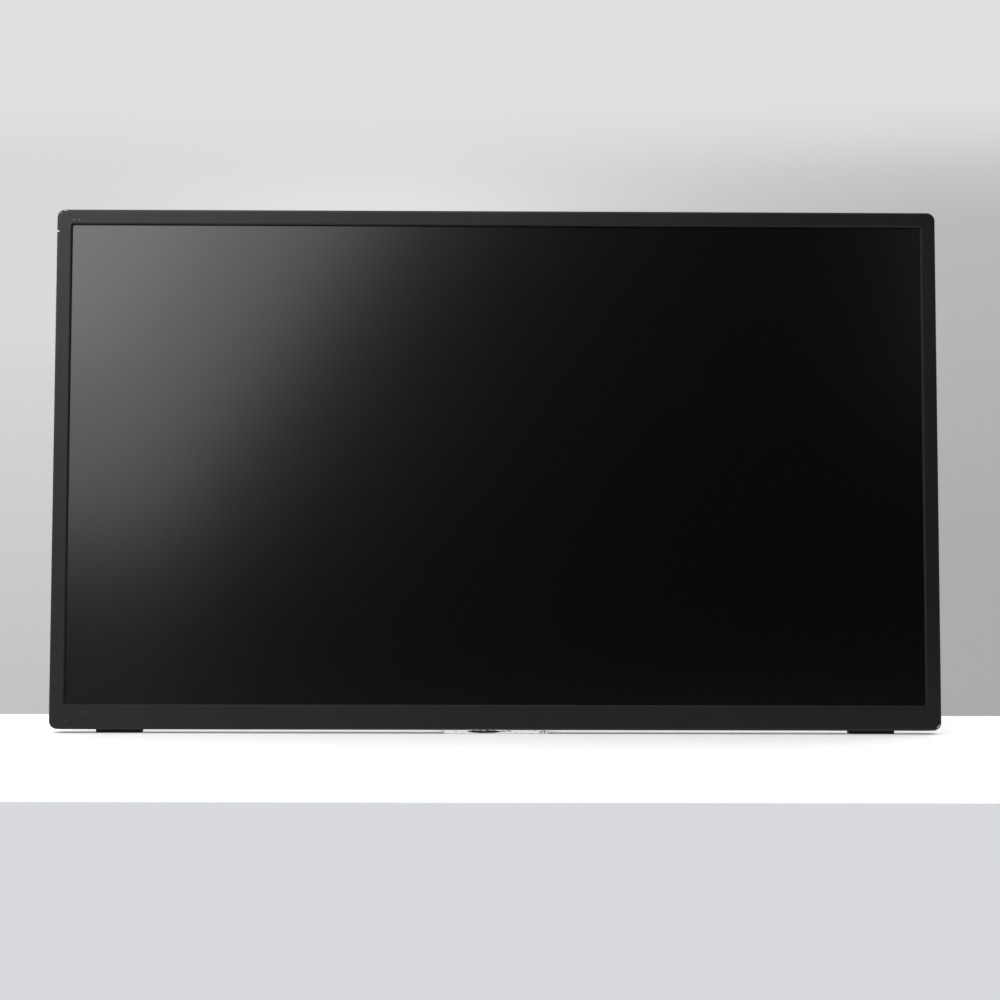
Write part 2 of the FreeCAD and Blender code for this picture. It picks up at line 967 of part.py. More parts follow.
def main_board():
    plate = box(
        (main_board_left, main_board_right),
        (board_front, board_back),
        (main_board_bottom, main_board_top),
    )
    room = jack_body_width / 2 + jack_room
    through = (board_front - 1, board_back + 1)
    jack_cut = box(
        (main_board_left - 1, main_board_left + jack_body_length + 2 * jack_room),
        through,
        (jack_height - room, jack_height + room),
    )
    holes = [rod_y(through, x, z, board_screw_radius + screw_play) for x, z in main_board_holes()]
    return plate.cut([jack_cut] + holes)


def insulation_sheets():
    """A sheet under each board, clear of its posts and of the jack."""
    y = (chassis_back, chassis_back + insulation_thickness)
    gap = insulation_gap
    edge = board_screw_inset + standoff_radius + gap
    low = max(main_board_bottom + edge, jack_height + jack_body_width / 2 + gap)
    board = box((main_board_left + gap, main_board_right - gap), y, (low, main_board_top - edge))
    x = key_board_centre()
    half = key_board_width / 2 - gap / 2
    edge = key_board_hole_inset + standoff_radius + gap / 2
    keys_z = (key_board_bottom + edge, key_board_bottom + key_board_height - edge)
    return group([board, box((x - half, x + half), y, keys_z)])


def board_standoffs():
    posts = []
    stations = ((main_board_holes(), board_front), (key_board_holes(), key_board_front))
    for places, top in stations:
        for x, z in places:
            bore = rod_y((chassis_back - 1, top + 1), x, z, board_screw_radius)
            posts.append(rod_y((chassis_back, top), x, z, standoff_radius).cut(bore))
    return group(posts)


def pan_screw(x, z, tip, seat, radius, head_radius, head_height):
    """A screw along Y: a shank from tip to seat, and a head behind the seat with a cross recess."""
    shank = rod_y((tip, seat), x, z, radius)
    head = rod_y((seat, seat + head_height), x, z, head_radius)
    top = seat + head_height
    arm, blade = head_radius * 0.6, head_radius * 0.14
    depth = (top - head_height * 0.5, top + 1)
    cross = [
        box((x - arm, x + arm), depth, (z - blade, z + blade)),
        box((x - blade, x + blade), depth, (z - arm, z + arm)),
    ]
    return joined([shank, head]).cut(cross)


def board_screws():
    head = (board_screw_radius, board_screw_head, board_screw_head_height)
    stations = ((main_board_holes(), board_back), (key_board_holes(), key_board_back))
    return group([pan_screw(x, z, screw_tip, seat, *head) for places, seat in stations for x, z in places])


def shield_place():
    x = main_board_right - shield_edge_gap - shield_width
    z = main_board_top - shield_edge_gap - shield_height
    return x, z


def scaler_chip():
    x, z = shield_place()
    x += (shield_width - chip_size) / 2
    z += (shield_height - chip_size) / 2
    return box((x, x + chip_size), (board_back, board_back + chip_height), (z, z + chip_size))


def shield_can():
    x, z = shield_place()
    outer_z = (z, z + shield_height)
    outer_y = (board_back, board_back + shield_depth)
    outer = slab((x, x + shield_width), outer_y, outer_z, shield_corner)
    inner = box(
        (x + shield_wall, x + shield_width - shield_wall),
        (board_back - 1, board_back + shield_depth - shield_wall),
        (z + shield_wall, z + shield_height - shield_wall),
    )
    return outer.cut(inner)


def board_components():
    """Coils, capacitors and connectors on the main board, as separate parts."""
    x0 = main_board_left + jack_body_length + component_inset
    z0 = main_board_bottom + component_low
    parts = []
    for i in range(coil_count):
        coil_x = x0 + coil_radius + i * coil_pitch
        parts.append(rod_y((board_back, board_back + coil_height), coil_x, z0, coil_radius))
    for i in range(capacitor_count):
        x = (x0 + i * capacitor_pitch, x0 + i * capacitor_pitch + capacitor_length)
        parts.append(on_board(x, capacitor_height, z0 + capacitor_rise, capacitor_width))
    half_chip = small_chip_width / 2
    chip_x = (x0 - half_chip, x0 + half_chip)
    parts.append(on_board(chip_x, small_chip_height, z0 + small_chip_rise, small_chip_length))
    socket_low = main_board_bottom + lead_socket_low
    ribbon_low = main_board_top - ribbon_socket_inset - lead_socket_width
    parts.append(on_board(panel_lead_x(), connector_height - ribbon_thickness, socket_low, lead_socket_width))
    parts.append(on_board(speaker_plug_x(), plug_height, main_board_bottom + plug_low, plug_width))
    parts.append(on_board(key_ribbon_start(), key_ribbon_lift, ribbon_low, lead_socket_width))
    return group(parts)


def on_board(x, height, low, width):
    """A block of a given height on the main board's back face."""
    return box(x, (board_back, board_back + height), (low, low + width))


def speaker_plug_x():
    right = main_board_right - plug_edge_gap
    return (right - plug_length, right)


def key_ribbon_start():
    left = main_board_left + jack_body_length + key_ribbon_inset
    return (left, left + key_ribbon_width)


def key_ribbon_end():
    right = switch_front - switch_length - key_socket_side_gap
    return (right - key_ribbon_width, right)


def usb_socket(z):
    half = usb_width / 2
    y = (usb_centre_y - usb_thickness / 2, usb_centre_y + usb_thickness / 2)
    x = (socket_face, socket_face + usb_length)
    shell = rounded(box(x, y, (z - half, z + half)), usb_thickness / 2 - 0.01, Vector(1, 0, 0))
    t = usb_shell
    room_x = (x[0] - 1, x[1] - usb_back_wall)
    room = box(room_x, (y[0] + t, y[1] - t), (z - half + t, z + half - t))
    room = rounded(room, usb_thickness / 2 - t - 0.01, Vector(1, 0, 0))
    half_tongue = usb_tongue_thickness / 2
    tongue = box(
        (room_x[1] - usb_tongue_length, x[1]),
        (usb_centre_y - half_tongue, usb_centre_y + half_tongue),
        (z - usb_tongue_width / 2, z + usb_tongue_width / 2),
    )
    return joined([shell.cut(room), tongue])


def hdmi_outline(grow):
    half = hdmi_width / 2 + grow
    deep = hdmi_thickness / 2 + grow
    y, z = hdmi_centre_y, hdmi_height
    cut = hdmi_thickness * 0.4
    return [
        (y - deep, z - half),
        (y - deep, z + half),
        (y + deep - cut, z + half),
        (y + deep, z + half - cut),
        (y + deep, z - half + cut),
        (y + deep - cut, z - half),
    ]


def hdmi_socket():
    x = (socket_face, socket_face + hdmi_length)
    shell = side_prism(hdmi_outline(0), x)
    room = side_prism(hdmi_outline(-hdmi_shell), (x[0] - 1, x[1] - hdmi_back_wall))
    half = hdmi_tongue_thickness / 2
    tongue = box(
        (x[0] + hdmi_tongue_sink, x[1]),
        (hdmi_centre_y - half, hdmi_centre_y + half),
        (hdmi_height - hdmi_tongue_width / 2, hdmi_height + hdmi_tongue_width / 2),
    )
    return joined([shell.cut(room), tongue])


def audio_jack():
    start = main_board_left + jack_room
    half = jack_body_width / 2
    body = box(
        (start, start + jack_body_length),
        (jack_centre_y - jack_nose_radius, jack_centre_y + jack_nose_radius),
        (jack_height - half, jack_height + half),
    )
    nose = rod_x((socket_face, start + 1), jack_centre_y, jack_height, jack_nose_radius)
    bore_x = (socket_face - 1, socket_face + jack_depth)
    bore = rod_x(bore_x, jack_centre_y, jack_height, jack_bore_radius)
    return joined([body, nose]).cut(bore)


def key_prism(x, z, grow):
    """A key's rounded outline, drawn out along X."""
    half = key_length / 2 + grow
    deep = key_width / 2 + grow
    solid = box(x, (key_depth - deep, key_depth + deep), (z - half, z + half))
    return rounded(solid, deep - 0.01, Vector(1, 0, 0))


def key(z):
    face = half_width + key_stand
    back = key_inner_face - key_clearance
    flange_back = back - key_flange
    cap = key_prism((back, face), z, 0)
    rim = [e for e in cap.Edges if abs(middle(e).x - face) < 1e-6]
    cap = cap.makeFillet(key_edge_radius, rim)
    flange = key_prism((flange_back, back), z, key_flange_lip)
    half = key_stem_width / 2
    stem = box((key_stem_end, flange_back), (key_depth - half, key_depth + half), (z - half, z + half))
    return joined([cap, flange, stem])


def plunger(z):
    start = switch_front - plunger_seat
    return rod_x((start, key_stem_end), key_depth, z, plunger_radius)


def key_switches():
    bodies = []
    half = switch_height / 2
    for z in key_heights.values():
        body = box(
            (switch_front - switch_length, switch_front),
            (key_board_back, key_board_back + switch_thickness),
            (z - half, z + half),
        )
        seat = rod_x(
            (switch_front - plunger_seat - key_travel - 0.1, switch_front + 1),
            key_depth,
            z,
            plunger_radius + plunger_clearance,
        )
        bodies.append(body.cut(seat))
    return group(bodies)


def key_board():
    x = key_board_centre()
    half = key_board_width / 2
    plate = box(
        (x - half, x + half),
        (key_board_front, key_board_back),
        (key_board_bottom, key_board_bottom + key_board_height),
    )
    through = (key_board_front - 1, key_board_back + 1)
    holes = [rod_y(through, hx, hz, board_screw_radius + screw_play) for hx, hz in key_board_holes()]
    led = box(
        (switch_front - power_led_length, switch_front),
        (key_board_back, key_depth + light_pipe_radius),
        (light_pipe_height - power_led_width / 2, light_pipe_height + power_led_width / 2),
    )
    top = key_ribbon_socket_top
    socket = box(key_ribbon_end(), (key_board_back, key_ribbon_y), (top - key_socket_height, top))
    return joined([plate.cut(holes), led, socket])


def power_light_pipe():
    x = (switch_front + light_pipe_gap, half_width)
    return rod_x(x, key_depth, light_pipe_height, light_pipe_radius)


def speaker_box(side):
    """A closed box with a round mouth for the driver, and a post round each of its two screws."""
    x = side * speaker_centre
    half = speaker_width / 2
    y = (chassis_back, speaker_back)
    solid = slab((x - half, x + half), y, (speaker_bottom, speaker_top), speaker_corner)
    mouth = rod_y((speaker_back - driver_recess, speaker_back + 1), x, speaker_middle, driver_radius)
    chamber = box(
        (x - half + speaker_wall, x + half - speaker_wall),
        (chassis_back + speaker_wall, speaker_back - driver_recess - driver_seat),
        (speaker_bottom + speaker_wall, speaker_top - speaker_wall),
    )
    places = [place for place in speaker_screw_places() if place[0] * side > 0]
    post = speaker_screw_radius + speaker_wall
    posts = [rod_y(y, sx, sz, post) for sx, sz in places]
    through = (chassis_back - 1, speaker_back + 1)
    holes = [rod_y(through, sx, sz, speaker_screw_radius + screw_play) for sx, sz in places]
    return joined([solid.cut([mouth, chamber])] + posts).cut(holes)


def speaker_screw_places():
    half = speaker_width / 2 - speaker_screw_inset
    return [
        (side * speaker_centre + offset, speaker_middle) for side in (-1, 1) for offset in (-half, half)
    ]


def speaker_driver(side):
    """A driver with a rim, a sunk cone and a domed cap."""
    x, z = side * speaker_centre, speaker_middle
    base = speaker_back - driver_recess
    well_floor = base + driver_seat / 2
    rim = rod_y((base, base + driver_seat), x, z, driver_radius - screw_tip_gap)
    well = rod_y((well_floor, base + 2 * driver_seat), x, z, driver_radius - driver_rim)
    ball_radius = (driver_cap_radius**2 + driver_dome**2) / (2 * driver_dome)
    ball = Part.makeSphere(ball_radius, Vector(x, well_floor + driver_dome - ball_radius, z))
    cap = ball.common(rod_y((well_floor, speaker_back), x, z, driver_cap_radius))
    return joined([rim.cut(well), cap])


def speaker_gaskets():
    """The foam ring between each speaker box and the cover, round its slots."""
    rings = []
    half_x, half_z, wall = gasket_ring_width / 2, gasket_ring_height / 2, gasket_ring_wall
    for side in (-1, 1):
        x, z = side * speaker_centre, speaker_middle
        outer_x, outer_z = (x - half_x, x + half_x), (z - half_z, z + half_z)
        outer = slab(outer_x, (speaker_back, lower_inner), outer_z, gasket_ring_corner)
        inner_x = (x - half_x + wall, x + half_x - wall)
        inner_z = (z - half_z + wall, z + half_z - wall)
        through = (speaker_back - 1, lower_inner + 1)
        rings.append(outer.cut(slab(inner_x, through, inner_z, gasket_room_corner)))
    return group(rings)


def speaker_screws():
    head = (speaker_screw_radius, speaker_screw_head, speaker_screw_height)
    return group([pan_screw(x, z, screw_tip, speaker_back, *head) for x, z in speaker_screw_places()])


def panel_lead():
    """The flat lead from the main board to the driver board. It steps down past the board's lower edge."""
    upper_y = board_back + connector_height - ribbon_thickness
    lower_y = tray_back + source_board_thickness + connector_height - ribbon_thickness
    step_high = main_board_bottom - ribbon_step_gap
    step_low = step_high - ribbon_step_height
    top = main_board_bottom + lead_socket_low + ribbon_lap
    low = source_top - source_socket_inset - ribbon_lap
    t = ribbon_thickness
    outline = [
        (upper_y, top),
        (upper_y, step_high),
        (lower_y, step_low),
        (lower_y, low),
        (lower_y + t, low),
        (lower_y + t, step_low),
        (upper_y + t, step_high),
        (upper_y + t, top),
    ]
    return side_prism(outline, panel_lead_x())


def round_lead(name, points):
    """A round lead through the given points, with an arc at each corner as large as its two runs allow."""
    corners = []
    radii = []
    for before, here, after in zip(points, points[1:], points[2:]):
        run = min((here - before).Length, (after - here).Length)
        turn = (here - before).getAngle(after - here)
        reach = 0.45 * run
        radius = reach / math.tan(turn / 2)
        inward = (before - here).normalize()
        onward = (after - here).normalize()
        centre = here + (inward + onward).normalize() * (radius / math.cos(turn / 2))
        half_way = centre + (here - centre).normalize() * radius
        corners.append((here + inward * reach, half_way, here + onward * reach))
        radii.append(round(radius, 1))
    edges = []
    start = points[0]
    for first, half_way, last in corners:
        edges.append(Part.LineSegment(start, first).toShape())
        edges.append(Part.Arc(first, half_way, last).toShape())
        start = last
    edges.append(Part.LineSegment(start, points[-1]).toShape())
    path = Part.Wire(edges)
    print(f"{name}: {path.Length:.1f} mm long, arc radii {radii}")
    circle = Part.Wire([Part.Circle(points[0], points[1] - points[0], lead_radius).toShape()])
    return path.makePipeShell([circle], True, False)


def speaker_lead_left():
    """From the plug on the main board down into the left speaker box."""
    x = speaker_plug_x()[0] + lead_plug_inset
    y = board_back + lead_plug_rise
    start = main_board_bottom + plug_low
    drop = start - speaker_top
    side, back = lead_radius, lead_radius / 2
    return round_lead(
        "speaker_lead_left",
        [
            Vector(x, y, start),
            Vector(x, y, start - 0.4 * drop),
            Vector(x - side, y - back, speaker_top + 0.3 * drop),
            Vector(x - side, y - back, speaker_top),
        ],
    )


def speaker_lead_right():
    """From the plug over the panel lead and under the foot's recess to the right speaker box."""
    x = speaker_plug_x()[1] - lead_plug_inset
    y = board_back + lead_plug_rise
    start = main_board_bottom + plug_low
    level = start - lead_straight - lead_step
    floor = chassis_back + lead_radius + lead_floor_gap
    entry = speaker_top - lead_box_overlap
    over = panel_lead_x()[1] + lead_step
    dive = -boss_x_inner + lead_step
    run = 2 * boss_x_inner
    points = [
        Vector(x, y, start),
        Vector(x, y, start - lead_straight),
        Vector(x + lead_step, y + lead_radius / 4, level),
        Vector(over, y, level),
        Vector(dive, floor + 2 * lead_radius, level - lead_radius),
    ]
    for i, dip in enumerate((1.8, 0.2, 1.6, 0.0, 1.2)):
        points.append(Vector(dive + (i + 1) * run / 6, floor, level - lead_radius - dip))
    points += [
        Vector(boss_x_inner + lead_step, floor + lead_radius, level - 5 * lead_radius),
        Vector(speaker_inner - lead_straight - lead_step, floor + 2 * lead_radius, entry),
        Vector(speaker_inner, floor + 2 * lead_radius, entry),
    ]
    return round_lead("speaker_lead_right", points)


def key_ribbon():
    """The flat lead over the foot's recess, from the main board to the key board."""
    left, left_inner = key_ribbon_start()
    right_inner, right = key_ribbon_end()
    low = key_ribbon_low
    high = low + key_ribbon_width
    slant = key_ribbon_width / 3
    outline = [
        (left, main_board_top - ribbon_socket_inset - key_ribbon_lap),
        (left_inner, main_board_top - ribbon_socket_inset - key_ribbon_lap),
        (left_inner, low - slant),
        (left_inner + slant, low),
        (right_inner - slant, low),
        (right_inner, low - slant),
        (right_inner, key_ribbon_socket_top - key_ribbon_lap),
        (right, key_ribbon_socket_top - key_ribbon_lap),
        (right, high - 2 * slant),
        (right - 2 * slant, high),
        (left + 2 * slant, high),
        (left, high - 2 * slant),
    ]
    return front_prism(outline, (key_ribbon_y, key_ribbon_y + key_ribbon_thickness))


def rear_cover_screws():
    lower, upper = screw_places()
    head = (cover_screw_radius, cover_head_radius, cover_head_height)
    tip = chassis_back - cover_screw_bite
    sink = cover_head_height + cover_head_sink
    return group([pan_screw(x, z, tip, depth - sink, *head) for x, z, depth in lower + upper])


def hinge_screw_places():
    return [
        (side * hinge_screw_x, z) for side in (-1, 1) for z in (hinge_screw_z_low, hinge_screw_z_high)
    ]


def hinge_saddle():
    """The fixed half of the hinge: a flange on the chassis, a lip under the housing and two ears."""
    half = saddle_width / 2
    inner = half - ear_width
    flange_y = (chassis_back, chassis_back + saddle_flange_thickness)
    lip_back = hinge_y - saddle_lip_edge
    pieces = [
        slab((-half, half), flange_y, (-1, saddle_flange_height), saddle_flange_corner),
        box((-half, half), (front_wall + saddle_wall_gap, lip_back), (-1, saddle_lip_top)),
        lip_toe(half, lip_back),
    ]
    for side in (-1, 1):
        x = sorted((side * half, side * inner))
        pieces.append(rod_x(x, hinge_y, hinge_z, hinge_radius))
        pieces.append(box(x, (flange_y[0], hinge_y), (-lip_reach, hinge_z + hinge_radius)))
    pocket_radius = head_radius + head_pocket_clearance
    half_window = relief_window / 2
    cuts = [
        rod_x((-inner, inner), hinge_y, hinge_z, hinge_radius + knuckle_relief),
        box((-inner, inner), (flange_y[0] - 1, hinge_y), (hinge_z - half_window, hinge_z + half_window)),
        rod_x((-half - 1, half + 1), hinge_y, hinge_z, shaft_radius + shaft_clearance),
        rod_x((-half - 1, head_pocket_depth - half), hinge_y, hinge_z, pocket_radius),
        rod_x((half - head_pocket_depth, half + 1), hinge_y, hinge_z, pocket_radius),
    ]
    through = (flange_y[0] - 1, flange_y[1] + 1)
    cuts += [rod_y(through, x, z, hinge_screw_radius + screw_play) for x, z in hinge_screw_places()]
    return joined(pieces).cut(cuts)


def lip_toe(half, lip_back):
    """The bright lip below the housing's lower edge. Its front face bows forward in the middle."""
    bow = saddle_lip_front
    corner = bow + saddle_lip_bow
    low = -lip_reach
    arc = Part.Arc(Vector(half, corner, low), Vector(0, bow, low), Vector(-half, corner, low))
    corners = [(-half, corner), (-half, lip_back), (half, lip_back), (half, corner)]
    points = [Vector(x, y, low) for x, y in corners]
    sides = [Part.LineSegment(a, b).toShape() for a, b in zip(points, points[1:])]
    face = Part.Face(Part.Wire([arc.toShape()] + sides))
    return face.extrude(Vector(0, 0, lip_reach - saddle_lip_play))


def hinge_shaft():
    """The shaft: a head in the left ear's pocket, a body, and a thin end that carries the nut."""
    body = rod_x((-shaft_half, shaft_half), hinge_y, hinge_z, shaft_radius)
    head = rod_x((-shaft_half - head_thickness, -shaft_half), hinge_y, hinge_z, head_radius)
    stub = rod_x((shaft_half, shaft_half + nut_thickness), hinge_y, hinge_z, stub_radius)
    return joined([body, head, stub])


def hinge_nut():
    corner = nut_flats / math.sqrt(3)
    points = []
    for i in range(6):
        turn = math.radians(60 * i)
        y, z = hinge_y + corner * math.cos(turn), hinge_z + corner * math.sin(turn)
        points.append(Vector(shaft_half, y, z))
    face = Part.Face(Part.makePolygon(points + points[:1]))
    nut = face.extrude(Vector(nut_thickness, 0, 0))
    return nut.cut(rod_x((shaft_half - 1, shaft_half + nut_thickness + 1), hinge_y, hinge_z, stub_radius))


def hinge_washers():
    """Spring washers between the knuckle and each ear, which give the hinge its friction."""
    gap = (washer_room - washer_count * washer_thickness) / (washer_count + 1)
    washers = []
    for side in (-1, 1):
        for i in range(washer_count):
            near = knuckle_width / 2 + gap + i * (washer_thickness + gap)
            x = sorted((side * near, side * (near + washer_thickness)))
            bore = rod_x((x[0] - 1, x[1] + 1), hinge_y, hinge_z, shaft_radius)
            washers.append(rod_x(x, hinge_y, hinge_z, hinge_radius - washer_inset).cut(bore))
    return group(washers)


def hinge_screws():
    head = (hinge_screw_radius, hinge_screw_head, hinge_screw_head_height)
    seat = chassis_back + saddle_flange_thickness
    return group([pan_screw(x, z, screw_tip, seat, *head) for x, z in hinge_screw_places()])


def fold_down(shape):
    """From the folded place behind the display to the foot's own frame, flat on the table."""
    turned = shape.copy()
    turned.translate(Vector(0, -hinge_y, -hinge_z))
    turned.rotate(Vector(0, 0, 0), Vector(1, 0, 0), -90)
    return turned


def foot_plate():
    """The foot in its own frame: a knuckle on the shaft, a neck and a broad plate."""
    plate = fold_down(foot_prism(0, (lower_depth - foot_thickness, lower_depth)))
    half_knuckle = knuckle_width / 2
    beside = (foot_low - 1, foot_top + 1)
    plate = plate.cut(box((-foot_half_width, foot_half_width), (-1, neck_start), beside))
    rims = []
    for e in plate.Edges:
        p = middle(e)
        on_face = min(abs(p.z - foot_low), abs(p.z - foot_top)) < 1e-6
        if on_face and p.y > neck_start + 0.1:
            rims.append(e)
    plate = plate.makeFillet(foot_edge, rims)
    knuckle = rod_x((-half_knuckle, half_knuckle), 0, 0, hinge_radius)
    web = box((-half_knuckle, half_knuckle), (0, neck_start + 1), (foot_low, foot_top))
    body = joined([plate, knuckle, web])
    bore = rod_x((-half_knuckle - 1, half_knuckle + 1), 0, 0, shaft_radius)
    pockets = [pad_block(x, y, pad_sink, 0) for x, y in pad_places()]
    return body.cut([bore] + pockets)


def pad_places():
    x = foot_half_width - pad_inset - pad_length / 2
    near = neck_end + pad_inset + pad_width / 2
    far = foot_length - pad_inset - pad_width / 2
    middle_y = neck_start + neck_pad_offset
    return [(-x, near), (x, near), (-x, far), (x, far), (0, middle_y)]


def pad_block(x, y, sink, stand):
    """A pad's block, from its stand below the plate to its sink into it."""
    half_x, half_y = pad_length / 2, pad_width / 2
    z = (foot_low - stand, foot_low + sink)
    solid = box((x - half_x, x + half_x), (y - half_y, y + half_y), z)
    return rounded(solid, pad_corner, Vector(0, 0, 1))


def foot_pads():
    return group([pad_block(x, y, pad_sink, pad_stand) for x, y in pad_places()])


def lean_back(shape):
    """From the display's own frame to its place on the table."""
    moved = shape.copy()
    moved.translate(Vector(0, -hinge_y, -hinge_z))
    moved.rotate(Vector(0, 0, 0), Vector(1, 0, 0), -lean_angle)
    moved.translate(Vector(0, hinge_world_y, hinge_height))
    return moved


def lay_down(shape):
    """From the foot's own frame to its place on the table."""
    moved = shape.copy()
    moved.translate(Vector(0, hinge_world_y, hinge_height))
    return moved


def cut_level(shape, height):
    """The shape without what is lower than a height over the table."""
    size = 2 * housing_width
    below = Part.makeBox(size, size, size, Vector(-size / 2, -size / 2, height - size))
    return shape.cut(below)


def parts():
    """Every piece, under the name of its node, in its place on the table."""
    display = {
        "front_bezel": front_bezel(),
        "rear_cover": rear_cover(),
        "bezel_gasket": bezel_gasket(),
        "lcd_cell": panel_outline(cell_inset, (cell_front, cell_back)),
        "diffuser_sheet": film((cell_back, diffuser_back)),
        "prism_sheet": film((diffuser_back, prism_back)),
        "light_guide": film((prism_back, guide_back)),
        "reflector_sheet": film((guide_back, reflector_back)),
        "panel_frame": panel_frame(),
        "led_light_bar": led_light_bar(),
        "backlight_tray": backlight_tray(),
        "display_flex_tails": display_flex_tails(),
        "source_board": source_board(),
        "mounting_tape": mounting_tape(),
        "chassis_plate": chassis_plate(),
        "insulation_sheets": insulation_sheets(),
        "board_standoffs": board_standoffs(),
        "main_board": main_board(),
        "board_components": board_components(),
        "scaler_chip": scaler_chip(),
        "shield_can": shield_can(),
        "board_screws": board_screws(),
        "usb_c_socket_upper": usb_socket(usb_upper_height),
        "usb_c_socket_lower": usb_socket(usb_lower_height),
        "hdmi_socket": hdmi_socket(),
        "audio_jack": audio_jack(),
        "panel_lead": panel_lead(),
        "speaker_lead_left": speaker_lead_left(),
        "speaker_lead_right": speaker_lead_right(),
        "key_ribbon": key_ribbon(),
        "key_board": key_board(),
        "key_switches": key_switches(),
        "power_light_pipe": power_light_pipe(),
        "speaker_box_left": speaker_box(-1),
        "speaker_box_right": speaker_box(1),
        "speaker_driver_left": speaker_driver(-1),
        "speaker_driver_right": speaker_driver(1),
        "speaker_gaskets": speaker_gaskets(),
        "speaker_screws": speaker_screws(),
        "rear_cover_screws": rear_cover_screws(),
        "hinge_screws": hinge_screws(),
        "hinge_shaft": hinge_shaft(),
        "hinge_nut": hinge_nut(),
        "hinge_washers": hinge_washers(),
    }
    for name, z in key_heights.items():
        display[name] = key(z)
        display[name.replace("_key", "_plunger")] = plunger(z)
    made = {name: lean_back(shape) for name, shape in display.items()}
    made["rubber_foot_left"] = cut_level(lean_back(housing_foot(-1)), 0)
    made["rubber_foot_right"] = cut_level(lean_back(housing_foot(1)), 0)
    made["hinge_saddle"] = cut_level(lean_back(hinge_saddle()), table_clearance)
    made["foot_plate"] = lay_down(foot_plate())
    made["foot_pads"] = lay_down(foot_pads())
    return made


def main():
    os.makedirs("parts", exist_ok=True)
    for name, shape in parts().items():
        solids = shape.Solids
        shape = solids[0] if len(solids) == 1 else Part.makeCompound(solids)
        if not shape.isValid():
            raise ValueError(f"{name} is not a valid shape")
        shape.exportStep(os.path.join("parts", name + ".step"))
        print(f"{name}: {len(solids)} solids, {shape.Volume / 1000:.3f} cm3")


if __name__ == "__main__":
    main()
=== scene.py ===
import math

import bpy
from mathutils import Matrix, Vector


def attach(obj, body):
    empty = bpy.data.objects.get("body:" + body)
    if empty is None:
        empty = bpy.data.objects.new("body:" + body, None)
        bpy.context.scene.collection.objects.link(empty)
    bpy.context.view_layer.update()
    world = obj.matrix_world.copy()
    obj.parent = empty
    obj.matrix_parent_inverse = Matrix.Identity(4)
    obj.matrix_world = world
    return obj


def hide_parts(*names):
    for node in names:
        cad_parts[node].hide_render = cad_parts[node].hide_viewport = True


# A slim portable monitor on two rubber feet and a folding metal foot.
# Everything is in metres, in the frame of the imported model.

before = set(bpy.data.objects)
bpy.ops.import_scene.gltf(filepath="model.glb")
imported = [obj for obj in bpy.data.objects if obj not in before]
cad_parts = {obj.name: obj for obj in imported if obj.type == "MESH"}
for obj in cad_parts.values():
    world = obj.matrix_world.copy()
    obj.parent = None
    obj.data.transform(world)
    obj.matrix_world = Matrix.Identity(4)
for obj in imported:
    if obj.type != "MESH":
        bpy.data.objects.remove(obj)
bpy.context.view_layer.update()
scene = bpy.context.scene
print("frame loaded:", len(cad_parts), "nodes")

# The display's own frame is upright: X right, Y back from its front face, Z up from its lower edge
stance = {
    "lean": math.radians(4.5),
    "hinge": Vector((0, 0.0093, 0.0030591)),  # the hinge axis in the display's frame
    "place": Vector((0, -0.0392456, 0.004)),  # and on the table
}
leaning = (
    Matrix.Translation(stance["place"])
    @ Matrix.Rotation(-stance["lean"], 4, "X")
    @ Matrix.Translation(-stance["hinge"])
)
# The frame's window and the screen's picture area, in the display's frame
window = {"half": 0.17248, "low": 0.010, "high": 0.20439}
active = {"half": 0.17208, "low": 0.0104, "high": 0.20399}
borderStep = 0.00002  # half the width of the step from the picture area to its border

# Camera, where the photographer stood
shot = {
    "place": Vector((-0.01078, -1.132, 0.07759)),
    "yaw": -0.01124,
    "pitch": 0.01480,
    "roll": 0.00268,
    "lens": 97.4,
    "sensor": 36.0,
}


def makeCamera():
    yaw, pitch, roll = shot["yaw"], shot["pitch"], shot["roll"]
    right = Vector((math.cos(yaw), math.sin(yaw), 0))
    forward = Vector((-math.sin(yaw) * math.cos(pitch), math.cos(yaw) * math.cos(pitch), math.sin(pitch)))
    up = right.cross(forward)
    rightRolled = math.cos(roll) * right + math.sin(roll) * up
    upRolled = math.cos(roll) * up - math.sin(roll) * right
    data = bpy.data.cameras.new("camera")
    data.lens, data.sensor_width = shot["lens"], shot["sensor"]
    data.clip_start, data.clip_end = 0.05, 20
    camera = bpy.data.objects.new("camera", data)
    turn = Matrix((rightRolled, upRolled, -forward)).transposed().to_4x4()
    camera.matrix_world = Matrix.Translation(shot["place"]) @ turn
    scene.collection.objects.link(camera)
    scene.camera = camera


makeCamera()
print("camera placed")


# Node helpers

def fill(tree, socket, value):
    if isinstance(value, bpy.types.NodeSocket):
        tree.links.new(value, socket)
    else:
        socket.default_value = value


def addNode(tree, kind, values=None, **fixed):
    node = tree.nodes.new(kind)
    for name, value in fixed.items():
        setattr(node, name, value)
    for name, value in (values or {}).items():
        fill(tree, node.inputs[name], value)
    return node


def maths(tree, operation, *values, clamp=False):
    node = addNode(tree, "ShaderNodeMath", operation=operation, use_clamp=clamp)
    for socket, value in zip(node.inputs, values):
        fill(tree, socket, value)
    return node.outputs[0]


def times(tree, first, second):
    return maths(tree, "MULTIPLY", first, second)


def plus(tree, first, second):
    return maths(tree, "ADD", first, second)


def less(tree, first, second):
    return maths(tree, "SUBTRACT", first, second)


def below(tree, value, limit):
    return maths(tree, "LESS_THAN", value, limit)


def split(tree, vector):
    return addNode(tree, "ShaderNodeSeparateXYZ", {"Vector": vector}).outputs


def along(tree, **parts):
    return addNode(tree, "ShaderNodeCombineXYZ", parts).outputs[0]


def vectorMaths(tree, operation, *values):
    node = addNode(tree, "ShaderNodeVectorMath", operation=operation)
    for socket, value in zip(node.inputs, values):
        fill(tree, socket, value)
    return node.outputs["Value" if operation in ("DOT_PRODUCT", "LENGTH") else "Vector"]


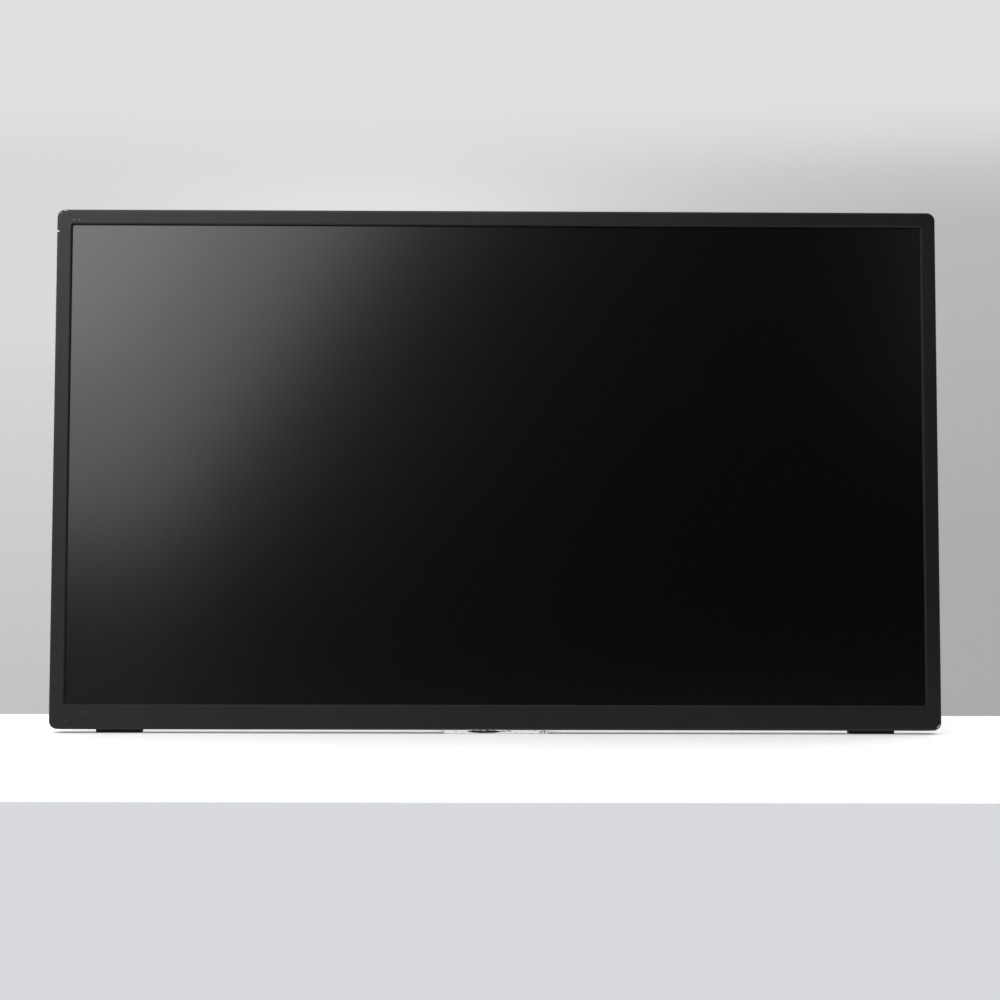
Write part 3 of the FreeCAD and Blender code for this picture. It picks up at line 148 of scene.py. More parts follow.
def mixColours(tree, share, first, second, mode="MIX"):
    node = addNode(tree, "ShaderNodeMix", data_type="RGBA", blend_type=mode)
    for place, value in ((0, share), (6, first), (7, second)):
        fill(tree, node.inputs[place], value)
    return node.outputs[2]


def ramp(tree, value, low, high, toLow=0.0, toHigh=1.0, smooth=False):
    values = {"Value": value, "From Min": low, "From Max": high, "To Min": toLow, "To Max": toHigh}
    kind = "SMOOTHSTEP" if smooth else "LINEAR"
    return addNode(tree, "ShaderNodeMapRange", values, interpolation_type=kind).outputs[0]


def noise(tree, position, scale, detail=2.0, roughness=0.5):
    values = {"Vector": position, "Scale": scale, "Detail": detail, "Roughness": roughness}
    return addNode(tree, "ShaderNodeTexNoise", values).outputs["Fac"]


def shaderGroup(name, build, outputs, inputs):
    tree = bpy.data.node_groups.new(name, "ShaderNodeTree")
    for title, value in inputs.items():
        kind = "NodeSocketVector" if value is None else "NodeSocketFloat"
        socket = tree.interface.new_socket(name=title, in_out="INPUT", socket_type=kind)
        if value is not None:
            socket.default_value = value
    for title in outputs:
        kind = "NodeSocketVector" if title == "Normal" else "NodeSocketFloat"
        tree.interface.new_socket(name=title, in_out="OUTPUT", socket_type=kind)
    entry = tree.nodes.new("NodeGroupInput")
    leave = tree.nodes.new("NodeGroupOutput")
    for title, socket in build(tree, entry.outputs).items():
        tree.links.new(socket, leave.inputs[title])
    return tree


def useGroup(tree, group, values):
    node = addNode(tree, "ShaderNodeGroup", node_tree=group)
    for name, value in values.items():
        fill(tree, node.inputs[name], value)
    return node.outputs


# Effects that several materials share

def buildGrain(tree, given):
    fine = noise(tree, given["Vector"], given["Scale"], 2.0, 0.65)
    values = {"Vector": given["Vector"], "Scale": times(tree, given["Scale"], 0.55)}
    pits = addNode(tree, "ShaderNodeTexVoronoi", values, feature="SMOOTH_F1").outputs["Distance"]
    cloud = noise(tree, given["Vector"], times(tree, given["Scale"], 0.012), 4.0, 0.6)
    height = plus(tree, times(tree, fine, 0.6), times(tree, pits, 0.5))
    swing = times(tree, less(tree, cloud, 0.5), given["Unevenness"])
    flecks = times(tree, less(tree, fine, 0.5), given["Flecks"])
    return {"Height": height, "Shade": plus(tree, plus(tree, 1.0, swing), flecks)}


def buildEdgeWear(tree, given):
    bevel = addNode(tree, "ShaderNodeBevel", {"Radius": given["Radius"]}, samples=4)
    geometry = addNode(tree, "ShaderNodeNewGeometry")
    alike = vectorMaths(tree, "DOT_PRODUCT", bevel.outputs["Normal"], geometry.outputs["Normal"])
    edge = ramp(tree, less(tree, 1.0, alike), 0.015, 0.2)
    broken = ramp(tree, noise(tree, given["Vector"], given["Scale"], 4.0, 0.7), 0.42, 0.66)
    mask = maths(tree, "MULTIPLY", times(tree, edge, broken), given["Amount"], clamp=True)
    return {"Mask": mask, "Normal": bevel.outputs["Normal"]}


def buildHandMarks(tree, given):
    broad = noise(tree, given["Vector"], given["Scale"], 3.0, 0.55)
    stretched = vectorMaths(tree, "MULTIPLY", given["Vector"], (1.0, 1.0, 0.25))
    wipes = noise(tree, stretched, times(tree, given["Scale"], 5.0), 5.0, 0.7)
    both = plus(tree, times(tree, broad, 0.7), times(tree, wipes, 0.3))
    return {"Change": times(tree, less(tree, both, 0.5), given["Swing"])}


def buildDust(tree, given):
    cells = addNode(tree, "ShaderNodeTexVoronoi", {"Vector": given["Vector"], "Scale": given["Scale"]}).outputs
    picked = addNode(tree, "ShaderNodeSeparateColor", {"Color": cells["Color"]}).outputs
    chosen = below(tree, picked["Red"], given["Share"])
    size = times(tree, picked["Green"], given["Size"])
    ragged = less(tree, noise(tree, given["Vector"], times(tree, given["Scale"], 7.0), 2.0, 0.6), 0.5)
    away = plus(tree, cells["Distance"], times(tree, times(tree, ragged, size), 2.6))
    return {"Mask": times(tree, chosen, below(tree, away, size))}


def buildBrushing(tree, given):
    stretched = vectorMaths(tree, "MULTIPLY", given["Vector"], given["Stretch"])
    lines = noise(tree, stretched, 1.0, 3.0, 0.7)
    broad = noise(tree, stretched, 0.13, 2.0, 0.5)
    both = plus(tree, times(tree, lines, 0.65), times(tree, broad, 0.35))
    return {"Height": lines, "Shade": less(tree, both, 0.5)}


grainGroup = shaderGroup("moulded grain", buildGrain, ["Height", "Shade"], {
    "Vector": None, "Scale": 2600.0, "Unevenness": 0.3, "Flecks": 0.2})
wearGroup = shaderGroup("edge wear", buildEdgeWear, ["Mask", "Normal"], {
    "Vector": None, "Radius": 0.0003, "Scale": 900.0, "Amount": 1.0})
marksGroup = shaderGroup("hand marks", buildHandMarks, ["Change"], {"Vector": None, "Scale": 14.0, "Swing": 0.1})
dustGroup = shaderGroup("dust", buildDust, ["Mask"], {"Vector": None, "Scale": 260.0, "Share": 0.02, "Size": 0.08})
brushGroup = shaderGroup("brush lines", buildBrushing, ["Height", "Shade"], {"Vector": None, "Stretch": None})


def grey(level, tint=(1.0, 1.0, 1.0)):
    return (level * tint[0], level * tint[1], level * tint[2], 1.0)


def newMaterial(name):
    material = bpy.data.materials.new(name)
    material.use_nodes = True
    tree = material.node_tree
    tree.nodes.clear()
    surface = tree.nodes.new("ShaderNodeBsdfPrincipled")
    ending = tree.nodes.new("ShaderNodeOutputMaterial")
    tree.links.new(surface.outputs[0], ending.inputs[0])
    return material, tree, surface


def objectPosition(tree, upright=False):
    position = addNode(tree, "ShaderNodeTexCoord").outputs["Object"]
    if not upright:
        return position
    back = leaning.inverted()
    values = {"Vector": position, "Location": back.to_translation(), "Rotation": back.to_euler()}
    return addNode(tree, "ShaderNodeMapping", values).outputs[0]


def bump(tree, height, depth, normal=None):
    values = {"Height": height, "Distance": depth}
    if normal is not None:
        values["Normal"] = normal
    return addNode(tree, "ShaderNodeBump", values).outputs[0]


def scaled(tree, colour, factor):
    node = addNode(tree, "ShaderNodeVectorMath", operation="SCALE")
    fill(tree, node.inputs[0], colour[:3] if isinstance(colour, tuple) else colour)
    fill(tree, node.inputs["Scale"], factor)
    return node.outputs["Vector"]


def dress(tree, surface, colour, roughness, normal):
    for title, value in (("Base Color", colour), ("Roughness", roughness), ("Normal", normal)):
        fill(tree, surface.inputs[title], value)


def outsideOf(tree, position, zone):  # how far a point lies outside an upright rectangle
    parts = split(tree, position)
    side = less(tree, maths(tree, "ABSOLUTE", parts["X"]), zone["half"])
    middle, tall = (zone["low"] + zone["high"]) / 2, (zone["high"] - zone["low"]) / 2
    end = less(tree, maths(tree, "ABSOLUTE", less(tree, parts["Z"], middle)), tall)
    return maths(tree, "MAXIMUM", side, end)


# Painted shade on the window's chamfer: this mask darkens the frame in a narrow band round the window and a wider one
# at its foot and right side
def paintedShadeRimMask(tree, position, narrow, wide):  # round the window, and wider at its foot and right side
    parts = split(tree, position)
    away = outsideOf(tree, position, window)
    rim = times(tree, below(tree, away, wide), maths(tree, "GREATER_THAN", parts["X"], -window["half"]))
    rim = times(tree, rim, below(tree, parts["Z"], window["high"]))
    return maths(tree, "MAXIMUM", rim, below(tree, away, narrow))


# Pale marks on the frame's front face: real nicks, scuffs and specks, and painted highlights standing in for glints on
# the corner fillets
def nickAndGlintMask(tree, position, nicksAndGlints):
    total = None
    ragged = noise(tree, position, 2800.0, 4.0, 0.75)
    for x, z, length, width, turn, strength in nicksAndGlints:  # place and size on the front face, and the way it runs
        values = {"Vector": position, "Location": (x, 0, z), "Rotation": (0, turn, 0), "Scale": (length, 0.0011, width)}
        near = addNode(tree, "ShaderNodeMapping", values, vector_type="TEXTURE").outputs[0]
        away = plus(tree, vectorMaths(tree, "LENGTH", near), ragged)
        spot = ramp(tree, away, 1.25, 1.5, strength, 0.0)
        total = spot if total is None else maths(tree, "MAXIMUM", total, spot)
    return total


def worn(tree, position, look, colour, roughness):
    wear = useGroup(tree, wearGroup, {
        "Vector": position, "Radius": look["edge"], "Scale": look["wearScale"], "Amount": look["wear"]})
    colour = mixColours(tree, wear["Mask"], colour, look["wornColour"])
    roughness = plus(tree, roughness, times(tree, wear["Mask"], look["wornRoughness"]))
    return colour, roughness, wear["Normal"]


def handled(tree, position, look):
    values = {"Vector": position, "Scale": look["markScale"], "Swing": look["marks"]}
    return plus(tree, look["roughness"], useGroup(tree, marksGroup, values)["Change"])


def dusted(tree, position, dust):
    return useGroup(tree, dustGroup, {"Vector": position, **dust})["Mask"]


# What a plastic or a metal has where its own settings say nothing else
plasticBase = {
    "upright": False, "unevenness": 0.3, "flecks": 0.25, "markScale": 16.0, "marks": 0.12, "ior": 1.5,
    "edge": 0.0003, "wearScale": 700.0, "wornRoughness": -0.12,
    "dustGrain": {"Share": 0.02, "Size": 0.09}, "dustCover": 0.3, "dustColour": grey(0.2),
}
metalBase = {
    "markScale": 30.0, "marks": 0.12, "streaks": 0.35, "roughStreaks": 0.15, "metallic": 1.0, "smoothest": 0.04,
    "edge": 0.0002, "wearScale": 900.0, "wornRoughness": -0.1,
    "speckleGrain": {"Share": 0.55, "Size": 0.6}, "speckleCover": (0.06, 0.9), "speckleRoughness": 0.3,
}


def mouldedPlastic(name, ownLook):
    look = dict(plasticBase, **ownLook)
    material, tree, surface = newMaterial(name)
    position = objectPosition(tree, look["upright"])
    grain = useGroup(tree, grainGroup, {
        "Vector": position, "Scale": look["grain"], "Unevenness": look["unevenness"], "Flecks": look["flecks"]})
    colour = scaled(tree, look["colour"], grain["Shade"])
    roughness = handled(tree, position, look)
    normal = None
    if "wear" in look:
        colour, roughness, normal = worn(tree, position, look, colour, roughness)
    # Painted shade: the colour is darkened in the band round the window, and the band is also made rougher
    if "rim" in look:
        rim = paintedShadeRimMask(tree, position, *look["rim"])
        colour = mixColours(tree, rim, colour, scaled(tree, colour, look["rimPaintedShade"]))
        roughness = plus(tree, roughness, times(tree, rim, look["rimRoughness"]))
    # Pale marks: nicks and scuffs, and painted highlights on the frame's corners
    if "nicksAndGlints" in look:
        colour = mixColours(tree, nickAndGlintMask(tree, position, look["nicksAndGlints"]), colour, look["nickAndGlintColour"])
    if "dust" in look:
        dust = dusted(tree, position, dict(look["dustGrain"], Scale=look["dust"]))
        colour = mixColours(tree, times(tree, dust, look["dustCover"]), colour, look["dustColour"])
    dress(tree, surface, colour, roughness, bump(tree, grain["Height"], look["depth"], normal))
    surface.inputs["IOR"].default_value = look["ior"]
    return material


def metal(name, ownLook):
    look = dict(metalBase, **ownLook)
    material, tree, surface = newMaterial(name)
    position = objectPosition(tree)
    brush = useGroup(tree, brushGroup, {"Vector": position, "Stretch": look["stretch"]})
    colour = scaled(tree, look["colour"], plus(tree, 1.0, times(tree, brush["Shade"], look["streaks"])))
    roughness = plus(tree, handled(tree, position, look), times(tree, brush["Shade"], look["roughStreaks"]))
    normal = None
    if "wear" in look:
        colour, roughness, normal = worn(tree, position, look, colour, roughness)
    if "speckles" in look:
        dust = dusted(tree, position, dict(look["speckleGrain"], Scale=look["speckles"]))
        share = ramp(tree, split(tree, position)["X"], *look["speckled"], *look["speckleCover"])
        spots = times(tree, dust, share)
        colour = mixColours(tree, spots, colour, look["speckleColour"])
        roughness = plus(tree, roughness, times(tree, spots, look["speckleRoughness"]))
    roughness = maths(tree, "MAXIMUM", roughness, look["smoothest"])
    dress(tree, surface, colour, roughness, bump(tree, brush["Height"], look["depth"], normal))
    surface.inputs["Metallic"].default_value = look["metallic"]
    return material


# The switched-off screen: a matte film over black glass, rougher behind its front face
screenLook = {
    "colour": grey(0.0005, (0.95, 1.0, 1.05)), "border": grey(0.0003), "ior": 1.65,
    "roughness": 0.18, "backRoughness": 0.3, "frontDepth": 0.0018, "marks": 0.02, "markScale": 9.0,
    "frost": 9000.0, "frostDepth": 0.0000004,
    "dust": {"Scale": 170.0, "Share": 0.012, "Size": 0.05}, "dustCover": 0.5, "dustColour": grey(0.12),
}


def screenMaterial():
    look = screenLook
    material, tree, surface = newMaterial("screenGlass")
    position = objectPosition(tree, True)
    outside = ramp(tree, outsideOf(tree, position, active), -borderStep, borderStep)
    front = below(tree, split(tree, position)["Y"], look["frontDepth"])
    colour = scaled(tree, look["colour"], ramp(tree, noise(tree, position, 40.0, 4.0, 0.6), 0.3, 0.7, 0.85, 1.15))
    colour = mixColours(tree, outside, colour, look["border"])
    dust = times(tree, dusted(tree, position, look["dust"]), times(tree, front, look["dustCover"]))
    colour = mixColours(tree, dust, colour, look["dustColour"])
    roughness = handled(tree, position, look)
    roughness = plus(tree, roughness, times(tree, less(tree, 1.0, front), look["backRoughness"]))
    frost = noise(tree, position, look["frost"], 1.0, 0.5)
    dress(tree, surface, colour, roughness, bump(tree, frost, look["frostDepth"]))
    surface.inputs["IOR"].default_value = look["ior"]
    return material


# Boards: solder mask over copper tracks, with bare pads
boardLook = {
    "mask": grey(0.055, (0.16, 0.9, 0.42)),
    "track": grey(0.085, (0.22, 1.0, 0.5)),
    "pad": (0.72, 0.62, 0.42, 1.0),
    "roughness": 0.32,
    "runs": 260.0,
    "pads": 420.0,
    "padSize": 0.22,
    "padShare": 0.3,
    "depth": 0.00004,
}


def boardMaterial():
    look = boardLook
    material, tree, surface = newMaterial("circuitBoard")
    position = objectPosition(tree, True)
    parts = split(tree, position)
    flat = along(tree, X=parts["X"], Y=parts["Z"])
    runs = addNode(tree, "ShaderNodeTexBrick", {
        "Vector": flat, "Scale": look["runs"], "Mortar Size": 0.09, "Brick Width": 2.6, "Row Height": 0.5,
        "Color1": grey(0.0), "Color2": grey(0.0), "Mortar": grey(1.0),
    }, offset_frequency=3, squash=0.6, squash_frequency=2)
    track = addNode(tree, "ShaderNodeRGBToBW", {"Color": runs.outputs["Color"]}).outputs[0]
    cells = addNode(tree, "ShaderNodeTexVoronoi", {"Vector": flat, "Scale": look["pads"], "Randomness": 0.7},
                    voronoi_dimensions="2D", distance="CHEBYCHEV").outputs
    picked = addNode(tree, "ShaderNodeSeparateColor", {"Color": cells["Color"]}).outputs["Red"]
    pads = times(tree, below(tree, cells["Distance"], look["padSize"]), below(tree, picked, look["padShare"]))
    colour = mixColours(tree, track, look["mask"], look["track"])
    colour = mixColours(tree, pads, colour, look["pad"])
    roughness = plus(tree, look["roughness"], times(tree, noise(tree, position, 300.0, 3.0), 0.15))
    dress(tree, surface, colour, roughness, bump(tree, plus(tree, track, pads), look["depth"]))
    fill(tree, surface.inputs["Metallic"], pads)
    return material


# Flat flexible leads: plastic film over parallel conductors
def striped(name, look):
    material, tree, surface = newMaterial(name)
    position = objectPosition(tree, True)
    values = {"Vector": position, "Scale": look["pitch"], "Detail": 1.0}
    lines = addNode(tree, "ShaderNodeTexWave", values, bands_direction="X").outputs["Fac"]
    mask = ramp(tree, lines, 0.45, 0.55)
    cloud = noise(tree, position, 220.0, 3.0, 0.6)
    colour = mixColours(tree, mask, look["film"], look["line"])
    colour = scaled(tree, colour, ramp(tree, cloud, 0.3, 0.7, 0.85, 1.15))
    roughness = ramp(tree, cloud, 0.3, 0.7, look["roughness"] - 0.08, look["roughness"] + 0.08)
    dress(tree, surface, colour, roughness, bump(tree, mask, 0.00003))
    return material


# Soft or see-through sheets
def sheetMaterial(name, look):
    material, tree, surface = newMaterial(name)
    position = objectPosition(tree, True)
    height = addNode(tree, "ShaderNodeTexVoronoi", {"Vector": position, "Scale": look["cell"]}).outputs["Distance"]
    cloud = noise(tree, position, look["cell"] * 0.05, 3.0, 0.6)
    shade = plus(tree, ramp(tree, cloud, 0.3, 0.7, 0.9, 1.1), times(tree, height, look.get("cellShade", -0.2)))
    roughness = ramp(tree, cloud, 0.3, 0.7, look["roughness"] - 0.06, look["roughness"] + 0.06)
    dress(tree, surface, scaled(tree, look["colour"], shade), roughness, bump(tree, height, look["depth"]))
    surface.inputs["Transmission Weight"].default_value = look.get("clear", 0.0)
    surface.inputs["IOR"].default_value = 1.49
    surface.inputs["Sheen Weight"].default_value = look.get("sheen", 0.0)
    return material


# Paper cones with rings, and a shinier cap
coneLook = {
    "centre": (0.13018, 0.0254),
    "rings": 9000.0,
    "cap": (0.0041, 0.0043),
    "colour": grey(0.03),
    "capColour": grey(0.012),
    "roughness": (0.75, 0.3),
    "depth": 0.00004,
}


def coneMaterial():
    look = coneLook
    material, tree, surface = newMaterial("speakerCone")
    position = objectPosition(tree, True)
    parts = split(tree, position)
    x = less(tree, maths(tree, "ABSOLUTE", parts["X"]), look["centre"][0])
    z = less(tree, parts["Z"], look["centre"][1])
    away = maths(tree, "SQRT", plus(tree, times(tree, x, x), times(tree, z, z)))
    rings = maths(tree, "SINE", times(tree, away, look["rings"]))
    cap = ramp(tree, away, *look["cap"], 1.0, 0.0)
    fibres = noise(tree, position, 1800.0, 4.0, 0.7)
    paper = scaled(tree, look["colour"], ramp(tree, fibres, 0.3, 0.7, 0.7, 1.3))
    height = plus(tree, times(tree, rings, less(tree, 1.0, cap)), times(tree, fibres, 0.4))
    colour = mixColours(tree, cap, paper, look["capColour"])
    dress(tree, surface, colour, ramp(tree, cap, 0.0, 1.0, *look["roughness"]), bump(tree, height, look["depth"]))
    return material


darkTint = (0.97, 1.0, 1.03)
frameLook = {
    "colour": grey(0.0050, darkTint), "roughness": 0.37, "ior": 1.395, "upright": True,
    # The rim settings paint shade on the window's chamfer: a darker, rougher band round the window
    "rim": (0.00028, 0.00062), "rimPaintedShade": 0.35, "rimRoughness": 0.45,
    "grain": 2600.0, "depth": 0.000018, "marks": 0.10, "unevenness": 0.35, "flecks": 0.35,
    "edge": 0.00035, "wear": 0.35, "wornColour": grey(0.06), "dust": 420.0, "nickAndGlintColour": grey(0.75),
    # Pale marks: the second, third and fourth entries are painted highlights on the corner fillets; the others are
    # nicks, scuffs and specks
    "nicksAndGlints": [
        (-0.1783, 0.2016, 0.0007, 0.0003, 0.2, 1.0),
        (-0.1752, 0.21012, 0.0009, 0.00016, -0.12, 0.6),
        (-0.1770, 0.2090, 0.0007, 0.00010, -0.9, 0.4),
        (0.17735, 0.00175, 0.0012, 0.00012, -0.85, 0.9),
        (-0.1717, 0.2062, 0.0009, 0.00022, -0.15, 0.07),
        (-0.1697, 0.2063, 0.0004, 0.0003, 0.5, 0.14),
        (-0.1639, 0.0067, 0.00035, 0.0003, 0.0, 0.10),
        (-0.1722, 0.0031, 0.0003, 0.0002, 0.7, 0.10),
        (0.1751, 0.0080, 0.0004, 0.0003, 0.0, 0.04),
        (0.1529, 0.0096, 0.0005, 0.0002, 0.4, 0.04),
        (0.1647, 0.0097, 0.0004, 0.0002, -0.3, 0.04),
        (-0.1755, 0.1502, 0.0007, 0.00016, 1.4, 0.06),
        (-0.1735, 0.2040, 0.0004, 0.0003, 0.3, 0.04),
        (0.0420, 0.0052, 0.0006, 0.00015, 0.2, 0.04),
    ],
}
coverLook = {
    "colour": grey(0.0125, darkTint), "roughness": 0.45, "upright": True,
    "grain": 2300.0, "depth": 0.00016, "flecks": 0.55, "wear": 0.3, "wornColour": grey(0.055), "dust": 380.0,
}
finishes = {
    "frame": mouldedPlastic("framePlastic", frameLook),
    "cover": mouldedPlastic("coverPlastic", coverLook),
    "screen": screenMaterial(),
    "key": mouldedPlastic("keyPlastic", {
        "colour": grey(0.013, darkTint), "roughness": 0.33, "grain": 3200.0, "depth": 0.000005, "marks": 0.1,
        "edge": 0.00015, "wear": 0.5, "wornColour": grey(0.05), "wearScale": 1500.0}),
    "keyMark": mouldedPlastic("keyMark", {
        "colour": grey(0.40), "roughness": 0.5, "grain": 3000.0, "depth": 0.000005}),
    "jackPlastic": mouldedPlastic("jackPlastic", {
        "colour": grey(0.010), "roughness": 0.38, "grain": 2500.0, "depth": 0.00001}),
    "speakerPlastic": mouldedPlastic("speakerPlastic", {
        "colour": grey(0.014), "roughness": 0.48, "grain": 1200.0, "depth": 0.00002}),
    "panelPlastic": mouldedPlastic("panelPlastic", {
        "colour": grey(0.72), "roughness": 0.42, "grain": 1200.0, "depth": 0.00001,
        "unevenness": 0.08, "flecks": 0.06}),
    "boardParts": mouldedPlastic("boardParts", {
        "colour": grey(0.020), "roughness": 0.45, "grain": 2200.0, "depth": 0.000015, "flecks": 0.5}),
    "rubber": mouldedPlastic("footRubber", {
        "colour": grey(0.0085), "roughness": 0.62, "grain": 1900.0, "depth": 0.00003, "flecks": 0.6, "marks": 0.14,
        "edge": 0.0002, "wear": 0.3, "wornColour": grey(0.03), "dust": 600.0}),
    "footMetal": metal("footMetal", {
        "colour": grey(0.15, (0.98, 1.0, 1.03)), "roughness": 0.34, "stretch": (45.0, 2600.0, 2600.0),
        "depth": 0.000006, "streaks": 0.9, "roughStreaks": 0.3, "metallic": 0.7,
        "edge": 0.00025, "wear": 0.8, "wornColour": grey(0.45), "wearScale": 500.0}),
    "polished": metal("hingePolished", {
        "colour": grey(0.86, (1.0, 0.995, 0.98)), "roughness": 0.09, "stretch": (90.0, 2600.0, 2600.0),
        "depth": 0.0000015, "streaks": 0.12, "roughStreaks": 0.2, "marks": 0.1,
        "speckles": 1300.0, "speckleColour": grey(0.16), "speckled": (0.004, 0.0125),
        "wear": 0.4, "wornColour": grey(0.9)}),
    "shaft": metal("shaftSteel", {
        "colour": grey(0.56), "roughness": 0.26, "stretch": (2400.0, 300.0, 300.0), "depth": 0.000002}),
    "screw": metal("screwSteel", {
        "colour": grey(0.055), "roughness": 0.34, "stretch": (900.0, 900.0, 900.0), "depth": 0.000004,
        "streaks": 0.5, "edge": 0.00012, "wear": 0.9, "wornColour": grey(0.45), "wearScale": 1600.0}),
    "socket": metal("socketSteel", {
        "colour": grey(0.62), "roughness": 0.24, "stretch": (140.0, 2200.0, 2200.0), "depth": 0.000002,
        "edge": 0.00012, "wear": 0.5, "wornColour": grey(0.85)}),
    "shield": metal("shieldSteel", {
        "colour": grey(0.66), "roughness": 0.3, "stretch": (400.0, 400.0, 400.0), "depth": 0.000004}),
    "chassis": metal("chassisMetal", {
        "colour": grey(0.50), "roughness": 0.4, "stretch": (700.0, 700.0, 90.0), "depth": 0.000004, "streaks": 0.5}),
    "panelMetal": metal("panelMetal", {
        "colour": grey(0.60), "roughness": 0.34, "stretch": (60.0, 1800.0, 1800.0), "depth": 0.000003}),
    "gold": metal("contactGold", {
        "colour": (0.83, 0.60, 0.24, 1.0), "roughness": 0.24, "stretch": (300.0, 2600.0, 2600.0),
        "depth": 0.000001}),
    "board": boardMaterial(),
    "flex": striped("flexFilm", {
        "film": (0.42, 0.20, 0.045, 1.0), "line": (0.60, 0.33, 0.10, 1.0), "pitch": 190.0, "roughness": 0.34}),
    "lead": striped("leadBlack", {
        "film": grey(0.010), "line": grey(0.022), "pitch": 260.0, "roughness": 0.46}),
    "foam": sheetMaterial("foam", {
        "colour": grey(0.014), "roughness": 0.9, "cell": 2600.0, "depth": 0.00006, "sheen": 0.2}),
    "film": sheetMaterial("opticalFilm", {
        "colour": grey(0.80), "roughness": 0.38, "cell": 2200.0, "depth": 0.000008, "cellShade": -0.08,
        "clear": 0.25}),
    "guide": sheetMaterial("lightGuide", {
        "colour": grey(0.90), "roughness": 0.12, "cell": 900.0, "depth": 0.00001, "cellShade": -0.05, "clear": 0.9}),
    "pipe": sheetMaterial("lightPipe", {
        "colour": (0.78, 0.80, 0.80, 1.0), "roughness": 0.28, "cell": 1800.0, "depth": 0.00001,
        "cellShade": -0.1, "clear": 0.55}),
    "cone": coneMaterial(),
    "meshWire": metal("meshWire", {
        "colour": grey(0.06), "roughness": 0.4, "stretch": (1500.0, 1500.0, 1500.0), "depth": 0.000003}),
}
print("materials made:", len(finishes))

finishNodes = {
    "frame": ["front_bezel"],
    "cover": ["rear_cover"],
    "screen": ["lcd_cell"],
    "key": ["power_key", "menu_key", "up_key", "down_key"],
    "rubber": ["rubber_foot_left", "rubber_foot_right", "foot_pads"],
    "footMetal": ["foot_plate"],
    "polished": ["hinge_saddle"],
    "shaft": ["hinge_shaft", "hinge_nut", "hinge_washers", "hinge_screws", "board_screws", "speaker_screws"],
    "screw": ["rear_cover_screws"],
    "socket": ["usb_c_socket_upper", "usb_c_socket_lower", "hdmi_socket"],
    "jackPlastic": ["audio_jack", "power_plunger", "menu_plunger", "up_plunger", "down_plunger"],
    "pipe": ["power_light_pipe"],
    "panelPlastic": ["panel_frame"],
    "panelMetal": ["backlight_tray"],
    "chassis": ["chassis_plate"],
    "shield": ["shield_can", "board_standoffs"],
    "board": ["main_board", "key_board", "source_board"],
    "boardParts": ["board_components", "scaler_chip", "key_switches", "led_light_bar"],
    "flex": ["display_flex_tails", "key_ribbon"],
    "lead": ["panel_lead", "speaker_lead_left", "speaker_lead_right"],
    "foam": ["bezel_gasket", "mounting_tape", "speaker_gaskets"],
    "film": ["diffuser_sheet", "prism_sheet", "reflector_sheet", "insulation_sheets"],
    "guide": ["light_guide"],
    "speakerPlastic": ["speaker_box_left", "speaker_box_right"],
    "cone": ["speaker_driver_left", "speaker_driver_right"],
}
nodeFinishes = {node: finishes[finish] for finish, nodes in finishNodes.items() for node in nodes}
for nodeName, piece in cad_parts.items():
    for spot in piece.material_slots:
        spot.link = "OBJECT"
        spot.material = nodeFinishes[nodeName]
print("nodes painted:", len(nodeFinishes))


# Pieces that repeat, made with Geometry Nodes and kept as plain meshes

def shapeTree(name, inputs):
    tree = bpy.data.node_groups.new(name, "GeometryNodeTree")
    for title in inputs.split():
        kind = "Int" if title == "Count" else "Float"
        tree.interface.new_socket(name=title, in_out="INPUT", socket_type="NodeSocket" + kind)
    tree.interface.new_socket(name="Material", in_out="INPUT", socket_type="NodeSocketMaterial")
    tree.interface.new_socket(name="Geometry", in_out="OUTPUT", socket_type="NodeSocketGeometry")
    return tree, tree.nodes.new("NodeGroupInput").outputs


def solid(tree, kind, values=None, **fixed):
    return addNode(tree, kind, values, **fixed).outputs[0]


def endTree(tree, given, *shapes):
    realized = solid(tree, "GeometryNodeRealizeInstances", {"Geometry": joinShapes(tree, *shapes)})
    welded = solid(tree, "GeometryNodeMergeByDistance", {"Geometry": realized, "Distance": 0.000002})
    painted = solid(tree, "GeometryNodeSetMaterial", {"Geometry": welded, "Material": given["Material"]})
    tree.links.new(painted, tree.nodes.new("NodeGroupOutput").inputs[0])
    return tree


def joinShapes(tree, *shapes):
    node = tree.nodes.new("GeometryNodeJoinGeometry")
    for shape in reversed(shapes):
        tree.links.new(shape, node.inputs[0])
    return node.outputs[0]


def rectangle(tree, width, height):
    values = {"Width": width, "Height": height}
    return solid(tree, "GeometryNodeCurvePrimitiveQuadrilateral", values)


def circle(tree, sides, radius):
    values = {"Resolution": sides, "Radius": radius}
    return solid(tree, "GeometryNodeCurvePrimitiveCircle", values, mode="RADIUS")


def swept(tree, path, profile, capped=True):
    values = {"Curve": path, "Profile Curve": profile, "Fill Caps": capped}
    return solid(tree, "GeometryNodeCurveToMesh", values)


def roundedPlate(tree, length, width, thick, corner):
    outline = rectangle(tree, length, width)
    values = {"Curve": outline, "Count": 4, "Radius": corner, "Limit Radius": True}
    soft = solid(tree, "GeometryNodeFilletCurve", values, mode="POLY")
    face = solid(tree, "GeometryNodeFillCurve", {"Curve": soft}, mode="NGONS")
    values = {"Mesh": face, "Offset": along(tree, Z=1.0), "Offset Scale": thick}
    raised = solid(tree, "GeometryNodeExtrudeMesh", values)
    base = solid(tree, "GeometryNodeFlipFaces", {"Mesh": face})
    return joinShapes(tree, raised, base)


def rowOf(tree, shape, count, start, step, rotation=(0, 0, 0)):
    points = solid(tree, "GeometryNodeMeshLine", {"Count": count, "Start Location": start, "Offset": step})
    values = {"Points": points, "Instance": shape, "Rotation": rotation}
    return solid(tree, "GeometryNodeInstanceOnPoints", values)


def placed(tree, shape, where=(0, 0, 0), turn=(0, 0, 0)):
    values = {"Geometry": shape, "Translation": where, "Rotation": turn}
    return solid(tree, "GeometryNodeTransform", values)


def addPiece(name, mesh, body):
    piece = bpy.data.objects.new(name, mesh)
    scene.collection.objects.link(piece)
    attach(piece, body)
    print(f"{name}: {len(mesh.polygons)} faces")
    return piece


